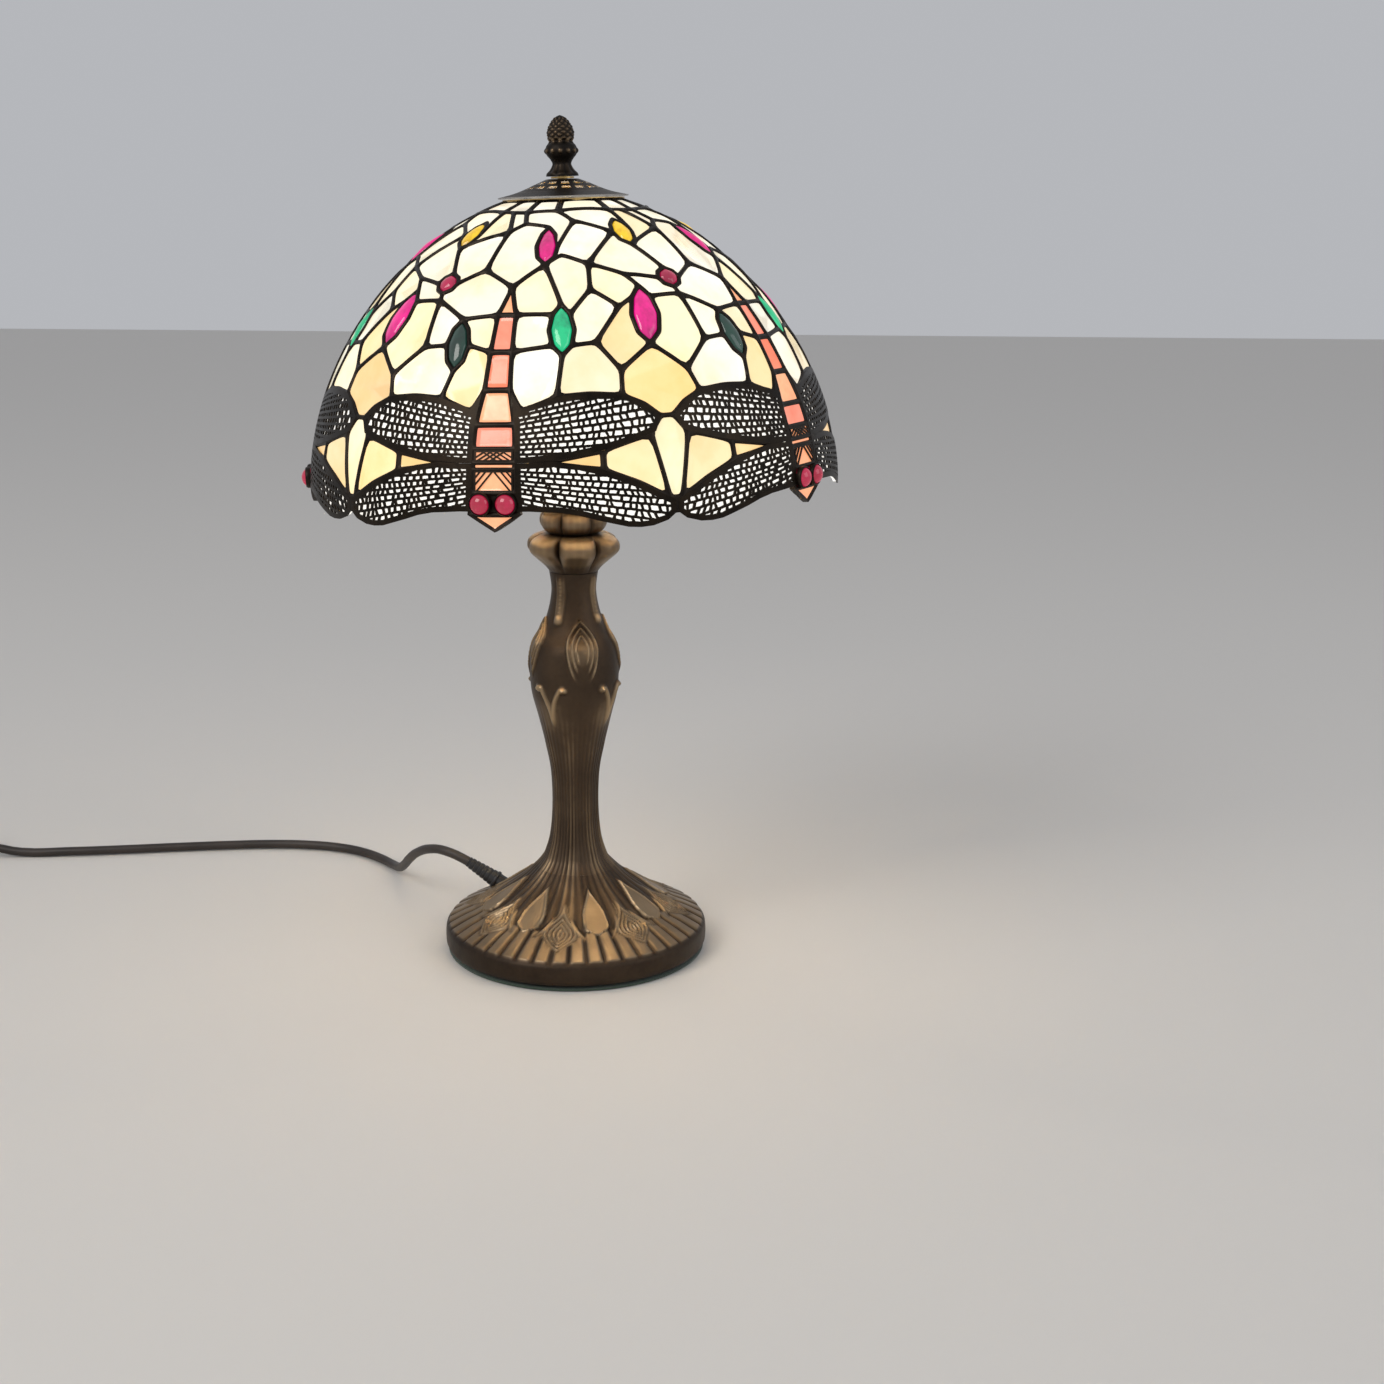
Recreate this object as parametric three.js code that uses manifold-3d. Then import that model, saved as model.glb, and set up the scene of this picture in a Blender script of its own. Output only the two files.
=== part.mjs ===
// Stained glass table lamp, in millimetres, +Z up.
// The origin is the middle of the felt's underside. The front dragonfly looks a little left of -Y.
import * as THREE from 'three';
import { mergeVertices } from 'three/addons/utils/BufferGeometryUtils.js';
import Module from 'manifold-3d';

const wasm = await Module();
wasm.setup();

// ---- driving dimensions -------------------------------------------------------------------
const GAP = 0.3;                  // clearance kept between pieces that touch
const REPEATS = 5;                // dragonflies round the shade
const FIRST_BEARING = -12.5;      // degrees, front dragonfly, from -Y towards +X
const SHADE_RADIUS = 152;         // widest circle of the glass
const WIDEST_Z = 290;
const DOME_RISE = 163.4;          // from the widest circle to where the dome would close
const DOME_POWER = 1.82;          // superellipse power of the dome's outline
const DOME_TUCK = 0.0035;         // how the rim draws in under the widest circle, per mm
const SHADE_TOP_Z = 446;
const RIM_Z = 283;                // the heads' lowest points
const GLASS_OUT = 1.2;            // solder bead outside the glass line
const GLASS_IN = 2.2;             // glass and bead inside it
const LEAN_DEG = 2.2;             // the shade hangs a little towards -X
const LEAN_PIVOT_Z = 340;
const FOOT_RADIUS = 80;
const PIPE_RADIUS = 5;
const COLUMN_TOP_Z = 271.8;
const HARP_HALF = 27;             // half the width at the harp's feet
const HARP_TOP_Z = 447;
const WIRE_RADIUS = 2;
const CORD_RADIUS = 3;
const CORD_Z = CORD_RADIUS + 0.2; // centre of the cord where it lies
const ROUND = 24;                 // segments of a turned piece
const DOME_SEGMENTS = 40;

const rad = THREE.MathUtils.degToRad;
const root = new THREE.Group();
const leaning = new THREE.Group();
leaning.position.set(0, 0, LEAN_PIVOT_Z);
leaning.rotation.y = -rad(LEAN_DEG);
const upright = new THREE.Group();
upright.position.set(0, 0, -LEAN_PIVOT_Z);
leaning.add(upright);
root.add(leaning);

// ---- finishes -----------------------------------------------------------------------------
const finish = (color, roughness, metalness) => new THREE.MeshStandardMaterial({ color, roughness, metalness });
const bronze = finish(0x4a3524, 0.45, 0.8);
const brass = finish(0xb08d4c, 0.35, 0.9);
const steel = finish(0x9a9a98, 0.35, 0.9);
const iron = finish(0x3a3a3a, 0.6, 0.8);
const felt = finish(0x22301f, 0.95, 0);
const glassCream = finish(0xf2e2bb, 0.25, 0);
const wingGlass = finish(0xe9e4d8, 0.35, 0.2);
const ruby = finish(0xa00838, 0.1, 0);
const ceramic = finish(0xe8e4da, 0.4, 0);
const clearGlass = finish(0xf6f2ea, 0.08, 0);
const blackPlastic = finish(0x15130f, 0.4, 0);
const cordSkin = finish(0x2a1c12, 0.5, 0);

// ---- solids -------------------------------------------------------------------------------
// Bare triangles with shared corners, no slivers, and their faces pointing out.
function tidy(geometry) {
  const bare = geometry.index ? geometry.toNonIndexed() : geometry.clone();
  for (const name of Object.keys(bare.attributes)) {
    if (name !== 'position') bare.deleteAttribute(name);
  }
  const merged = mergeVertices(bare, 1e-3);
  const corners = merged.attributes.position;
  const index = merged.index.array;
  const kept = [];
  let volume = 0;
  const a = new THREE.Vector3();
  const b = new THREE.Vector3();
  const c = new THREE.Vector3();
  for (let i = 0; i < index.length; i += 3) {
    const [p, q, r] = [index[i], index[i + 1], index[i + 2]];
    if (p === q || q === r || r === p) continue;
    kept.push(p, q, r);
    a.fromBufferAttribute(corners, p);
    b.fromBufferAttribute(corners, q);
    c.fromBufferAttribute(corners, r);
    volume += a.dot(b.cross(c));
  }
  if (volume < 0) {
    for (let i = 0; i < kept.length; i += 3) [kept[i], kept[i + 1]] = [kept[i + 1], kept[i]];
  }
  merged.setIndex(kept);
  return merged;
}

function solid(geometry) {
  const clean = tidy(geometry);
  return new wasm.Manifold(new wasm.Mesh({
    numProp: 3,
    vertProperties: new Float32Array(clean.attributes.position.array),
    triVerts: new Uint32Array(clean.index.array),
  }));
}

function surface(manifold) {
  const mesh = manifold.getMesh();
  const geometry = new THREE.BufferGeometry();
  geometry.setAttribute('position', new THREE.BufferAttribute(mesh.vertProperties, 3));
  geometry.setIndex(new THREE.BufferAttribute(mesh.triVerts, 1));
  return geometry;
}

function piece(name, geometry, material, parent = root) {
  const mesh = new THREE.Mesh(tidy(geometry), material);
  mesh.name = name;
  parent.add(mesh);
  return mesh;
}

// A profile of [radius, height] points turned about +Z. It starts and ends on the axis, or closes.
function turned(points, segments = ROUND) {
  const profile = points.map(([r, z]) => new THREE.Vector2(r, z));
  const open = points[0][0] > 0 || points[points.length - 1][0] > 0;
  if (open) profile.push(profile[0].clone());
  return new THREE.LatheGeometry(profile, segments).rotateX(Math.PI / 2);
}

function tube(outer, inner, low, high, segments = ROUND) {
  return turned([[inner, low], [outer, low], [outer, high], [inner, high]], segments);
}

// A smooth run of points between the hand-set ones.
function smooth(points, steps) {
  return new THREE.SplineCurve(points.map(([r, z]) => new THREE.Vector2(r, z)))
    .getPoints(steps)
    .map((p) => [p.x, p.y]);
}

function prism(outline, depth) {
  const shape = new THREE.Shape(outline.map(([x, y]) => new THREE.Vector2(x, y)));
  return new THREE.ExtrudeGeometry(shape, { depth, bevelEnabled: false });
}

function rounded(width, height, radius) {
  const shape = new THREE.Shape();
  const [w, h] = [width / 2, height / 2];
  shape.moveTo(-w + radius, -h);
  shape.lineTo(w - radius, -h);
  shape.absarc(w - radius, -h + radius, radius, -Math.PI / 2, 0);
  shape.lineTo(w, h - radius);
  shape.absarc(w - radius, h - radius, radius, 0, Math.PI / 2);
  shape.lineTo(-w + radius, h);
  shape.absarc(-w + radius, h - radius, radius, Math.PI / 2, Math.PI);
  shape.lineTo(-w, -h + radius);
  shape.absarc(-w + radius, -h + radius, radius, Math.PI, 1.5 * Math.PI);
  return shape;
}

function swept(path, radius, sides, steps) {
  const section = new THREE.Shape();
  section.absarc(0, 0, radius, 0, 2 * Math.PI);
  const ring = new THREE.Shape(section.getPoints(Math.ceil(sides / 2)).slice(0, -1));
  return new THREE.ExtrudeGeometry(ring, { steps, extrudePath: path, curveSegments: sides });
}

// ---- foot ---------------------------------------------------------------------------------
const FOOT_TOP = [23.9, 51.7];    // where the foot hands over to the stem
const footOuter = smooth([[80, 17], [70, 22], [60, 26.5], [50, 32], [40, 38.6], [31, 44.6], FOOT_TOP], 7);
const footInner = [[26, 36], [34, 36], [46, 27.5], [58, 21.5], [68, 17.5], [76.4, 13.5], [76.4, 1.8]];
const footProfile = [[FOOT_RADIUS, 1.8], [FOOT_RADIUS + 0.5, 15], ...footOuter, [PIPE_RADIUS + GAP, 51.7],
  [PIPE_RADIUS + GAP, 36], ...footInner];

// The cord leaves the foot's slope at the back left, through a bush.
const EXIT = new THREE.Vector3(-52, 31, 29);
const EXIT_AIM = new THREE.Vector3(-0.84, 0.18, 0.5).normalize();
const BUSH_RADIUS = 5;
function alongExit(geometry, start) {
  const turn = new THREE.Quaternion().setFromUnitVectors(new THREE.Vector3(0, 0, 1), EXIT_AIM);
  const at = EXIT.clone().addScaledVector(EXIT_AIM, start);
  return geometry.applyQuaternion(turn).translate(at.x, at.y, at.z);
}
const bushHole = alongExit(tube(BUSH_RADIUS + GAP, 0, -14, 12, 16), 0);
piece('foot_casting', surface(solid(turned(footProfile, 28)).subtract(solid(bushHole))), bronze);
piece('cord_bush', alongExit(tube(BUSH_RADIUS, CORD_RADIUS + GAP, -10, 0, 12), 0), blackPlastic);
piece('felt_pad', tube(79, 0, 0, 1.5, 36), felt);
piece('base_plate', tube(75.6, 0, 1.8, 3.2, 36), iron);
piece('foot_weight', tube(62, 14, 4.5, 15, 24), iron);

// ---- column -------------------------------------------------------------------------------
const bore = PIPE_RADIUS + GAP;
const stemOuter = smooth([[23.6, 52], [18, 60], [14.6, 72], [13.5, 90], [14.2, 112], [17.6, 129], [21.6, 146],
  [26, 162], [27, 176], [25, 190], [19.8, 200], [15.4, 212], [13.5, 224], [14.6, 235]], 15);
piece('stem_casting', turned([[bore, 52], ...stemOuter, [bore, 235]], 18), bronze);

const LOBES = 6;
const LOBE_BEARING = -20;
// Draws a turned piece in between its lobes, most where it is widest.
function lobed(geometry, throat, depth) {
  const corner = geometry.attributes.position;
  for (let i = 0; i < corner.count; i += 1) {
    const [x, y] = [corner.getX(i), corner.getY(i)];
    const r = Math.hypot(x, y);
    if (r <= throat) continue;
    const around = Math.atan2(y, x) - rad(LOBE_BEARING);
    const dip = 1 - Math.abs(Math.cos(LOBES * around / 2));
    const scale = 1 - depth * dip * dip * (r - throat) / r;
    corner.setXY(i, x * scale, y * scale);
  }
  return geometry;
}
const collarOuter = smooth([[14.8, 235.3], [20, 241.5], [28.2, 248.5], [27, 254.5], [20.5, 257.6]], 6);
piece('lobed_collar', lobed(turned([[bore, 235.3], ...collarOuter, [bore, 257.6]], 30), 15, 0.5), bronze);
const cupOuter = smooth([[14.4, 257.9], [19, 261.5], [20.4, 266.5], [18.4, 270.6], [16, COLUMN_TOP_Z]], 5);
piece('top_cup', lobed(turned([[bore, 257.9], ...cupOuter, [bore, COLUMN_TOP_Z]], 30), 14, 0.3), bronze);

// ---- pipe and fasteners -------------------------------------------------------------------
const hexagon = (radius) => [...Array(6).keys()].map((k) => [radius * Math.cos(rad(60 * k)), radius * Math.sin(rad(60 * k))]);
function hexNut(low, high) {
  const blank = solid(prism(hexagon(8.6), high - low).translate(0, 0, low));
  return surface(blank.subtract(solid(tube(PIPE_RADIUS + GAP, 0, low - 1, high + 1, 24))));
}
piece('lamp_pipe', tube(PIPE_RADIUS, 3.6, 24, 293, 16), steel);
piece('inner_lead', tube(2.6, 0, 20, 292, 12), blackPlastic);
piece('foot_washer', tube(14, bore, 34.1, 35.7, 16), steel);
piece('foot_nut', hexNut(28.5, 33.8), steel);
piece('saddle_nut', hexNut(274.2, 279.2), brass);

// ---- harp ---------------------------------------------------------------------------------
const leanSlope = Math.tan(rad(LEAN_DEG));
const HARP_FOOT_Z = 284;
// The wire springs sideways, more and more towards the top, to where the leaning shade hangs.
function sprung(x, z) {
  const rise = (z - HARP_FOOT_Z) / (HARP_TOP_Z - HARP_FOOT_Z);
  return new THREE.Vector3(x - (HARP_TOP_Z - LEAN_PIVOT_Z) * leanSlope * rise * rise, 0, z);
}
const harpSide = [[HARP_HALF, HARP_FOOT_Z], [HARP_HALF, 303], [33, 317], [46, 338], [53, 364], [49, 394], [36, 421], [18, 440]];
const harpPoints = [...harpSide, [0, HARP_TOP_Z], ...[...harpSide].reverse().map(([x, z]) => [-x, z])];
const harpPath = new THREE.CatmullRomCurve3(harpPoints.map(([x, z]) => sprung(x, z)), false, 'centripetal');
piece('harp_wire', swept(harpPath, WIRE_RADIUS, 6, 32), brass);

const arm = HARP_HALF + WIRE_RADIUS;
const armIn = HARP_HALF - WIRE_RADIUS;
const saddleOutline = [[-arm + 3, 272.1], [arm - 3, 272.1], [arm, 275], [arm, HARP_FOOT_Z - GAP], [armIn, HARP_FOOT_Z - GAP],
  [armIn, 276], [armIn - 2, 273.9], [-armIn + 2, 273.9], [-armIn, 276], [-armIn, HARP_FOOT_Z - GAP],
  [-arm, HARP_FOOT_Z - GAP], [-arm, 275]];
const saddle = prism(saddleOutline, 4).rotateX(Math.PI / 2).translate(0, 2, 0);
const saddleEye = tube(9.6, 0, 272.1, 273.9, 24);
const saddleHole = tube(bore, 0, 270, 277, 24);
piece('harp_saddle', surface(solid(saddle).add(solid(saddleEye)).subtract(solid(saddleHole))), brass);
for (const [name, x] of [['harp_ferrule_left', -HARP_HALF], ['harp_ferrule_right', HARP_HALF]]) {
  piece(name, tube(4.6, 3.2, 277, 290, 20).translate(x, 0, 0), brass);
}
piece('harp_stud', turned([[0, 449.6], [5, 449.6], [5, 455.4], [11, 456.2], [11, 457.6], [2.7, 457.6], [2.7, 476], [0, 476]], 12),
  brass, upright);

// ---- lampholder and bulb ------------------------------------------------------------------
piece('holder_cap', turned([[bore, 279.6], [10, 279.6], [17, 284], [20.4, 291], [20.4, 298], [18.8, 298], [18.8, 291.5],
  [16, 285.6], [9.4, 281.4], [bore, 281.4]], 20), brass);
piece('holder_shell', tube(20.4, 18.8, 298.3, 331, 20), brass);
piece('contact_block', tube(18.2, 0, 294, 299.6, 20), ceramic);
piece('holder_liner', tube(18.4, 16, 299.9, 330, 20), ceramic);
piece('screw_shell', tube(15.6, 13.8, 300.4, 328, 20), brass);
piece('centre_contact', tube(3.6, 0, 299.9, 301.4, 20), brass);
piece('bulb_contact', turned([[0, 301.8], [3.4, 301.8], [4.6, 303.6], [4.6, 304.8], [0, 304.8]], 20), steel);
piece('bulb_cap', turned([[0, 305.1], [9, 305.1], [13.1, 309], [13.1, 330.4], [12.3, 330.4], [12.3, 309.6], [8.6, 306.3], [0, 306.3]], 20),
  steel);
const bulbOut = smooth([[13.2, 330.7], [15.2, 340], [22.6, 354], [29, 368], [29.6, 384], [24.5, 398], [14, 407.2], [5, 410.4]], 7);
const bulbIn = bulbOut.map(([r, z]) => [r - 1, z - (z > 380 ? 0.9 : 0)]).reverse();
piece('bulb_envelope', turned([...bulbOut, [0, 410.9], [0, 409.9], ...bulbIn], 16), clearGlass);
piece('bulb_stem', turned([[0, 331], [9, 331], [8, 334], [3.6, 340], [2.6, 362], [0, 363.4]], 20), clearGlass);

// ---- shade --------------------------------------------------------------------------------
function domeRadius(z) {
  if (z <= WIDEST_Z) return SHADE_RADIUS - DOME_TUCK * (WIDEST_Z - z) ** 2;
  const rise = (z - WIDEST_Z) / DOME_RISE;
  return SHADE_RADIUS * (1 - rise ** DOME_POWER) ** (1 / DOME_POWER);
}
// The dome's outline moved along its own normal.
function domeOffset(z, distance) {
  const step = 0.05;
  const slope = (domeRadius(z + step) - domeRadius(z - step)) / (2 * step);
  const length = Math.hypot(1, slope);
  return [domeRadius(z) + distance / length, z - slope * distance / length];
}
const LOW_Z = RIM_Z - 6;
const stations = [LOW_Z, WIDEST_Z, 312, 336, 358, 379, 398, 416, 431, 441, SHADE_TOP_Z];
const shellOut = stations.map((z) => domeOffset(z, GLASS_OUT));
const shellIn = stations.map((z) => domeOffset(z, -GLASS_IN)).reverse();
const shell = solid(turned([...shellOut, ...shellIn], DOME_SEGMENTS));

// A wedge of the whole lamp between two bearings, trimmed by half a gap on each side.
function wedge(from, to) {
  const trim = rad(0.06);
  const reach = 260;
  const fan = [];
  for (let k = 0; k <= 4; k += 1) {
    const bearing = rad(from) + trim + (rad(to - from) - 2 * trim) * k / 4;
    fan.push([reach * Math.sin(bearing), -reach * Math.cos(bearing)]);
  }
  return solid(prism([[0, 0], ...fan], 300).translate(0, 0, 200));
}

// Half of the dragonfly, as [degrees from its spine, height], from the tail's tip to the head's.
const TAIL = [[0, 404], [1.9, 389], [2.2, 372], [2.2, 354], [3.6, 342]];
const UPPER_WING = [[5.5, 343.5], [13, 350], [21, 351], [28, 349.5], [34.6, 338.5], [33, 331], [25, 325], [14, 320], [6.5, 318.8]];
const LOWER_WING = [[6.5, 317.6], [11.5, 318.6], [21.5, 314], [28.5, 306.5], [35.4, 296]];
const LOWER_EDGE = [[35.4, 289], [31, 283.5], [26, 284], [20, 288.5], [13, 293], [7, 294]];
const HEAD = [[5.6, 292], [3.4, 288], [0, RIM_Z]];
const SKIRT = [[38, 290], [40, 262]];
const flat = ([bearing, z]) => [domeRadius(z) * Math.sin(rad(bearing)), z];
function mirrored(half) {
  const right = half.map(flat);
  const left = right.filter(([x]) => x > 0).map(([x, z]) => [-x, z]).reverse();
  return [...right, ...left];
}
// Moves an outline inwards, each corner along the mean of its two edges' normals.
function inset(outline, distance) {
  return outline.map(([x, z], i) => {
    const before = outline[(i + outline.length - 1) % outline.length];
    const after = outline[(i + 1) % outline.length];
    const along = new THREE.Vector2(after[0] - before[0], after[1] - before[1]).normalize();
    return [x + along.y * distance, z - along.x * distance];
  });
}
function radialPrism(outline, bearing) {
  const block = prism(outline, 180).rotateX(Math.PI / 2).rotateZ(rad(bearing));
  return solid(block);
}
const dragonflyOutline = mirrored([...TAIL, ...UPPER_WING, ...LOWER_WING, ...LOWER_EDGE, ...HEAD]);
const skirtOutline = mirrored([...TAIL, ...UPPER_WING, ...LOWER_WING, ...SKIRT]);
const slice = 360 / REPEATS;

for (let k = 0; k < REPEATS; k += 1) {
  const bearing = FIRST_BEARING + slice * k;
  const body = shell.intersect(radialPrism(inset(dragonflyOutline, GAP), bearing))
    .intersect(wedge(bearing - slice / 2, bearing + slice / 2));
  piece(`dragonfly_${k + 1}`, surface(body), wingGlass, upright);
  const pane = shell.intersect(wedge(bearing, bearing + slice))
    .subtract(radialPrism(skirtOutline, bearing))
    .subtract(radialPrism(skirtOutline, bearing + slice));
  piece(`glass_panel_${k + 1}`, surface(pane), glassCream, upright);
}

// The two round eyes of a dragonfly sit in one setting on the outside of the glass.
const EYE_RADIUS = 6;
const EYE_Z = 298;
const EYE_HALF_ANGLE = 2.55;
const eyeFace = SHADE_RADIUS + GLASS_OUT + 0.5;
const eyeProfile = [[0, 0], [EYE_RADIUS, 0], [EYE_RADIUS - 0.4, 1.8], [3.6, 3.9], [0, 4.6]];
function eye(sign) {
  const x = sign * eyeFace * Math.sin(rad(EYE_HALF_ANGLE));
  return solid(turned(eyeProfile, 12).rotateX(Math.PI / 2).translate(x, -eyeFace, EYE_Z));
}
const eyeBar = solid(new THREE.BoxGeometry(8, 1.2, 3).translate(0, -eyeFace - 0.6, EYE_Z));
const eyePair = eye(-1).add(eye(1)).add(eyeBar);
for (let k = 0; k < REPEATS; k += 1) {
  const bearing = rad(FIRST_BEARING + slice * k);
  piece(`dragonfly_eyes_${k + 1}`, surface(eyePair).rotateZ(bearing), ruby, upright);
}

// ---- top of the shade ---------------------------------------------------------------------
piece('shade_ring', turned([[29.5, 444.6], [34.6, 444.6], [34.6, 448.9], [29.5, 448.9]]), brass, upright);
const capTop = smooth([[37, 450.2], [28, 453.8], [20, 456.8], [14, 458.6], [9, 459.6]], 5);
const capUnder = smooth([[9, 458.2], [14, 457.3], [20, 455.5], [28, 452.5], [37, 449.2]], 5);
const capBlank = solid(turned([...capTop, [3.3, 459.6], [3.3, 458.2], ...capUnder]));
const ventSlots = [];
for (const [radius, count, turn] of [[13.5, 6, 0], [17.8, 8, 22.5]]) {
  for (let k = 0; k < count; k += 1) {
    const bearing = rad(360 * k / count + turn);
    ventSlots.push(solid(new THREE.BoxGeometry(3.4, 1.5, 8).translate(0, -radius, 457).rotateZ(bearing)));
  }
}
piece('vase_cap', surface(ventSlots.reduce((cap, slot) => cap.subtract(slot), capBlank)), bronze, upright);
piece('finial_washer', tube(6.6, 3.1, 459.9, 460.8, 24), brass, upright);
const finialOuter = smooth([[9.3, 461.1], [6.6, 464.4], [5.4, 468], [8.6, 473], [8.9, 476.4], [5.8, 480], [7.2, 484.2],
  [5.6, 488], [3, 492], [0.8, 494]], 14);
piece('finial', turned([[3, 461.1], ...finialOuter, [0, 494.3], [0, 477], [3, 477]], 16), bronze, upright);

// ---- cord, switch and plug ----------------------------------------------------------------
const SWITCH = { x: -458, y: 152, length: 58, width: 26 };
const COIL = { x: -540, y: 107, middle: 33.3, half: 11.5, high: 12.6 };
const PLUG = { x: -635, y: 118, width: 49, length: 48, high: 21 };
const reliefLength = 22;
const reliefEnd = EXIT.clone().addScaledVector(EXIT_AIM, reliefLength);
piece('strain_relief', alongExit(turned([[0, GAP], [5, GAP], [4.6, 4], [3.8, 14], [3.3, reliefLength], [0, reliefLength]], 20), 0),
  blackPlastic);

const lead = [
  [-86, 41, 45], [-97, 50.5, 43], [-107, 64, 36], [-115, 80, 26], [-121, 97, 16], [-127, 114, 8], [-134, 130, 4.2],
  [-144, 144, CORD_Z], [-158, 157, CORD_Z], [-176, 167, CORD_Z], [-200, 173, CORD_Z], [-228, 174, CORD_Z],
  [-258, 171, CORD_Z], [-292, 166, CORD_Z], [-328, 160, CORD_Z], [-364, 155, CORD_Z], [-398, 152.6, CORD_Z],
];
const leadPoints = [
  reliefEnd.clone().addScaledVector(EXIT_AIM, GAP),
  reliefEnd.clone().addScaledVector(EXIT_AIM, 5),
  ...lead.map(([x, y, z]) => new THREE.Vector3(x, y, z)),
  new THREE.Vector3(SWITCH.x + SWITCH.length / 2 + 8, SWITCH.y, CORD_Z + 4),
  new THREE.Vector3(SWITCH.x + SWITCH.length / 2 + GAP, SWITCH.y, CORD_Z + 4),
];
const leadPath = new THREE.CatmullRomCurve3(leadPoints, false, 'centripetal');
piece('cord_lead', swept(leadPath, CORD_RADIUS, 8, 34), cordSkin);

const linkPoints = [
  new THREE.Vector3(SWITCH.x - SWITCH.length / 2 - GAP, SWITCH.y, CORD_Z + 4),
  new THREE.Vector3(SWITCH.x - SWITCH.length / 2 - 6, SWITCH.y, CORD_Z + 4),
  new THREE.Vector3(-503, 151, CORD_Z + 1.5),
  new THREE.Vector3(-514, 148.5, CORD_Z),
];
piece('cord_link', swept(new THREE.CatmullRomCurve3(linkPoints, false, 'centripetal'), CORD_RADIUS, 8, 3), cordSkin);
const coilLow = COIL.middle - COIL.half;
const coilHigh = COIL.middle + COIL.half;
const coilRing = turned([[coilLow + 2, 0.2], [coilHigh - 2, 0.2], [coilHigh, 2.2], [coilHigh, COIL.high - 2],
  [coilHigh - 2, COIL.high], [coilLow + 2, COIL.high], [coilLow, COIL.high - 2], [coilLow, 2.2]], 24);
piece('cord_coil', coilRing.translate(COIL.x, COIL.y, 0), cordSkin);
const tailPoints = [
  new THREE.Vector3(-581.5, 82, 8.5),
  new THREE.Vector3(-583, 71, 7.5),
  new THREE.Vector3(-592, 58.5, 6),
  new THREE.Vector3(-608.5, 53, 5),
  new THREE.Vector3(-625, 59, 6),
  new THREE.Vector3(-634, 71, 8),
  new THREE.Vector3(PLUG.x, 80.5, 9),
];
piece('cord_tail', swept(new THREE.CatmullRomCurve3(tailPoints, false, 'centripetal'), CORD_RADIUS, 8, 8), cordSkin);

function slab(shape, low, high, x, y) {
  return new THREE.ExtrudeGeometry(shape, { depth: high - low, bevelEnabled: false, curveSegments: 5 }).translate(x, y, low);
}
const switchShape = rounded(SWITCH.length, SWITCH.width, 10);
const ROCKER_Z = 18;
piece('switch_base', slab(switchShape, GAP, 8, SWITCH.x, SWITCH.y), blackPlastic);
const switchTop = solid(slab(switchShape, 8 + GAP, 19, SWITCH.x, SWITCH.y));
const rockerWell = solid(new THREE.BoxGeometry(21.6, 12, 12).translate(SWITCH.x, SWITCH.y, ROCKER_Z + 1));
piece('switch_cover', surface(switchTop.subtract(rockerWell)), blackPlastic);
const rockerOutline = [[-9.4, -1.2], [0, -3.6], [9.4, -1.2], [9.6, 2.8], [0, 1.2], [-9.6, 2.8]];
const ROCKER_REST = 8;
const rocker = prism(rockerOutline, 10.8).rotateX(Math.PI / 2).translate(0, 5.4, 0).rotateY(rad(ROCKER_REST));
piece('switch_rocker', rocker.translate(SWITCH.x, SWITCH.y, ROCKER_Z), blackPlastic);

const plugShape = rounded(PLUG.width, PLUG.length, 9);
piece('plug_boot', turned([[0, 0], [5.6, 0], [4.8, 6], [3.6, 12.6], [0, 12.6]], 16)
  .rotateX(Math.PI / 2).translate(PLUG.x, PLUG.y - PLUG.length / 2 - GAP, 9), blackPlastic);
piece('plug_body', slab(plugShape, GAP, PLUG.high, PLUG.x, PLUG.y), blackPlastic);
function pin(name, x, y, width, thick, length) {
  const blade = new THREE.BoxGeometry(width, thick, length);
  piece(name, blade.translate(PLUG.x + x, PLUG.y + y, PLUG.high + GAP + length / 2), brass);
}
pin('plug_pin_earth', 0, 11.1, 4, 8, 22.7);
pin('plug_pin_left', -11.1, -11.1, 6.35, 4, 17.7);
pin('plug_pin_right', 11.1, -11.1, 6.35, 4, 17.7);

export default root;
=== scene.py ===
# %% [markdown]
# A leaded glass table lamp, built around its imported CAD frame. The frame gives every piece its place:
# the foot's underside is at zero, +Z is up, and the front dragonfly looks a little left of -Y.
# Shapes are worked out in millimetres, as a maker would measure them, and are made metres at the end.

# %% Load the frame
import math
import random
import bmesh
import bpy
from mathutils import Matrix, Vector, noise


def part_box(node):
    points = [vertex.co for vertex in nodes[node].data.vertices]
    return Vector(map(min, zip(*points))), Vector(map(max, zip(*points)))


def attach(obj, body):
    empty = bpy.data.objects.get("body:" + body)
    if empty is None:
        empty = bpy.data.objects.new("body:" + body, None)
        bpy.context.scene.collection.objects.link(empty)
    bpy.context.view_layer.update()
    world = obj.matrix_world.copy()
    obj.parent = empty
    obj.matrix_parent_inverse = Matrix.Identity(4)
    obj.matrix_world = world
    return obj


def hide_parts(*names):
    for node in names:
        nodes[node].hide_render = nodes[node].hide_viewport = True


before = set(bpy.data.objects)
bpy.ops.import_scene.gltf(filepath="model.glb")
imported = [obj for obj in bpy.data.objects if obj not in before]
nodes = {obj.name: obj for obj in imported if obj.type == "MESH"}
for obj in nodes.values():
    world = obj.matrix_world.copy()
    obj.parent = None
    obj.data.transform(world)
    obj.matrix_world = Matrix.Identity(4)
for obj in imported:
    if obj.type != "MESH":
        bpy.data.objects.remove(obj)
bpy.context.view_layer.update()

MM = 0.001

# %% [markdown]
# The camera stands about 1.1 m in front of the lamp, a hand's breadth to its right, just above half of
# the shade, and looks down by 14 degrees. A 50 mm lens keeps the foot's ellipse and the rim's curve true.

# %% Camera
CAMERA_AT = Vector((70.8, -1119, 443.5)) * MM
LOOK_DOWN = 14.16
ROLL = 0.45
FRAME_PIXELS = 1384
FOCAL_PIXELS = 1914
SENSOR_MM = 36.0


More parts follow.
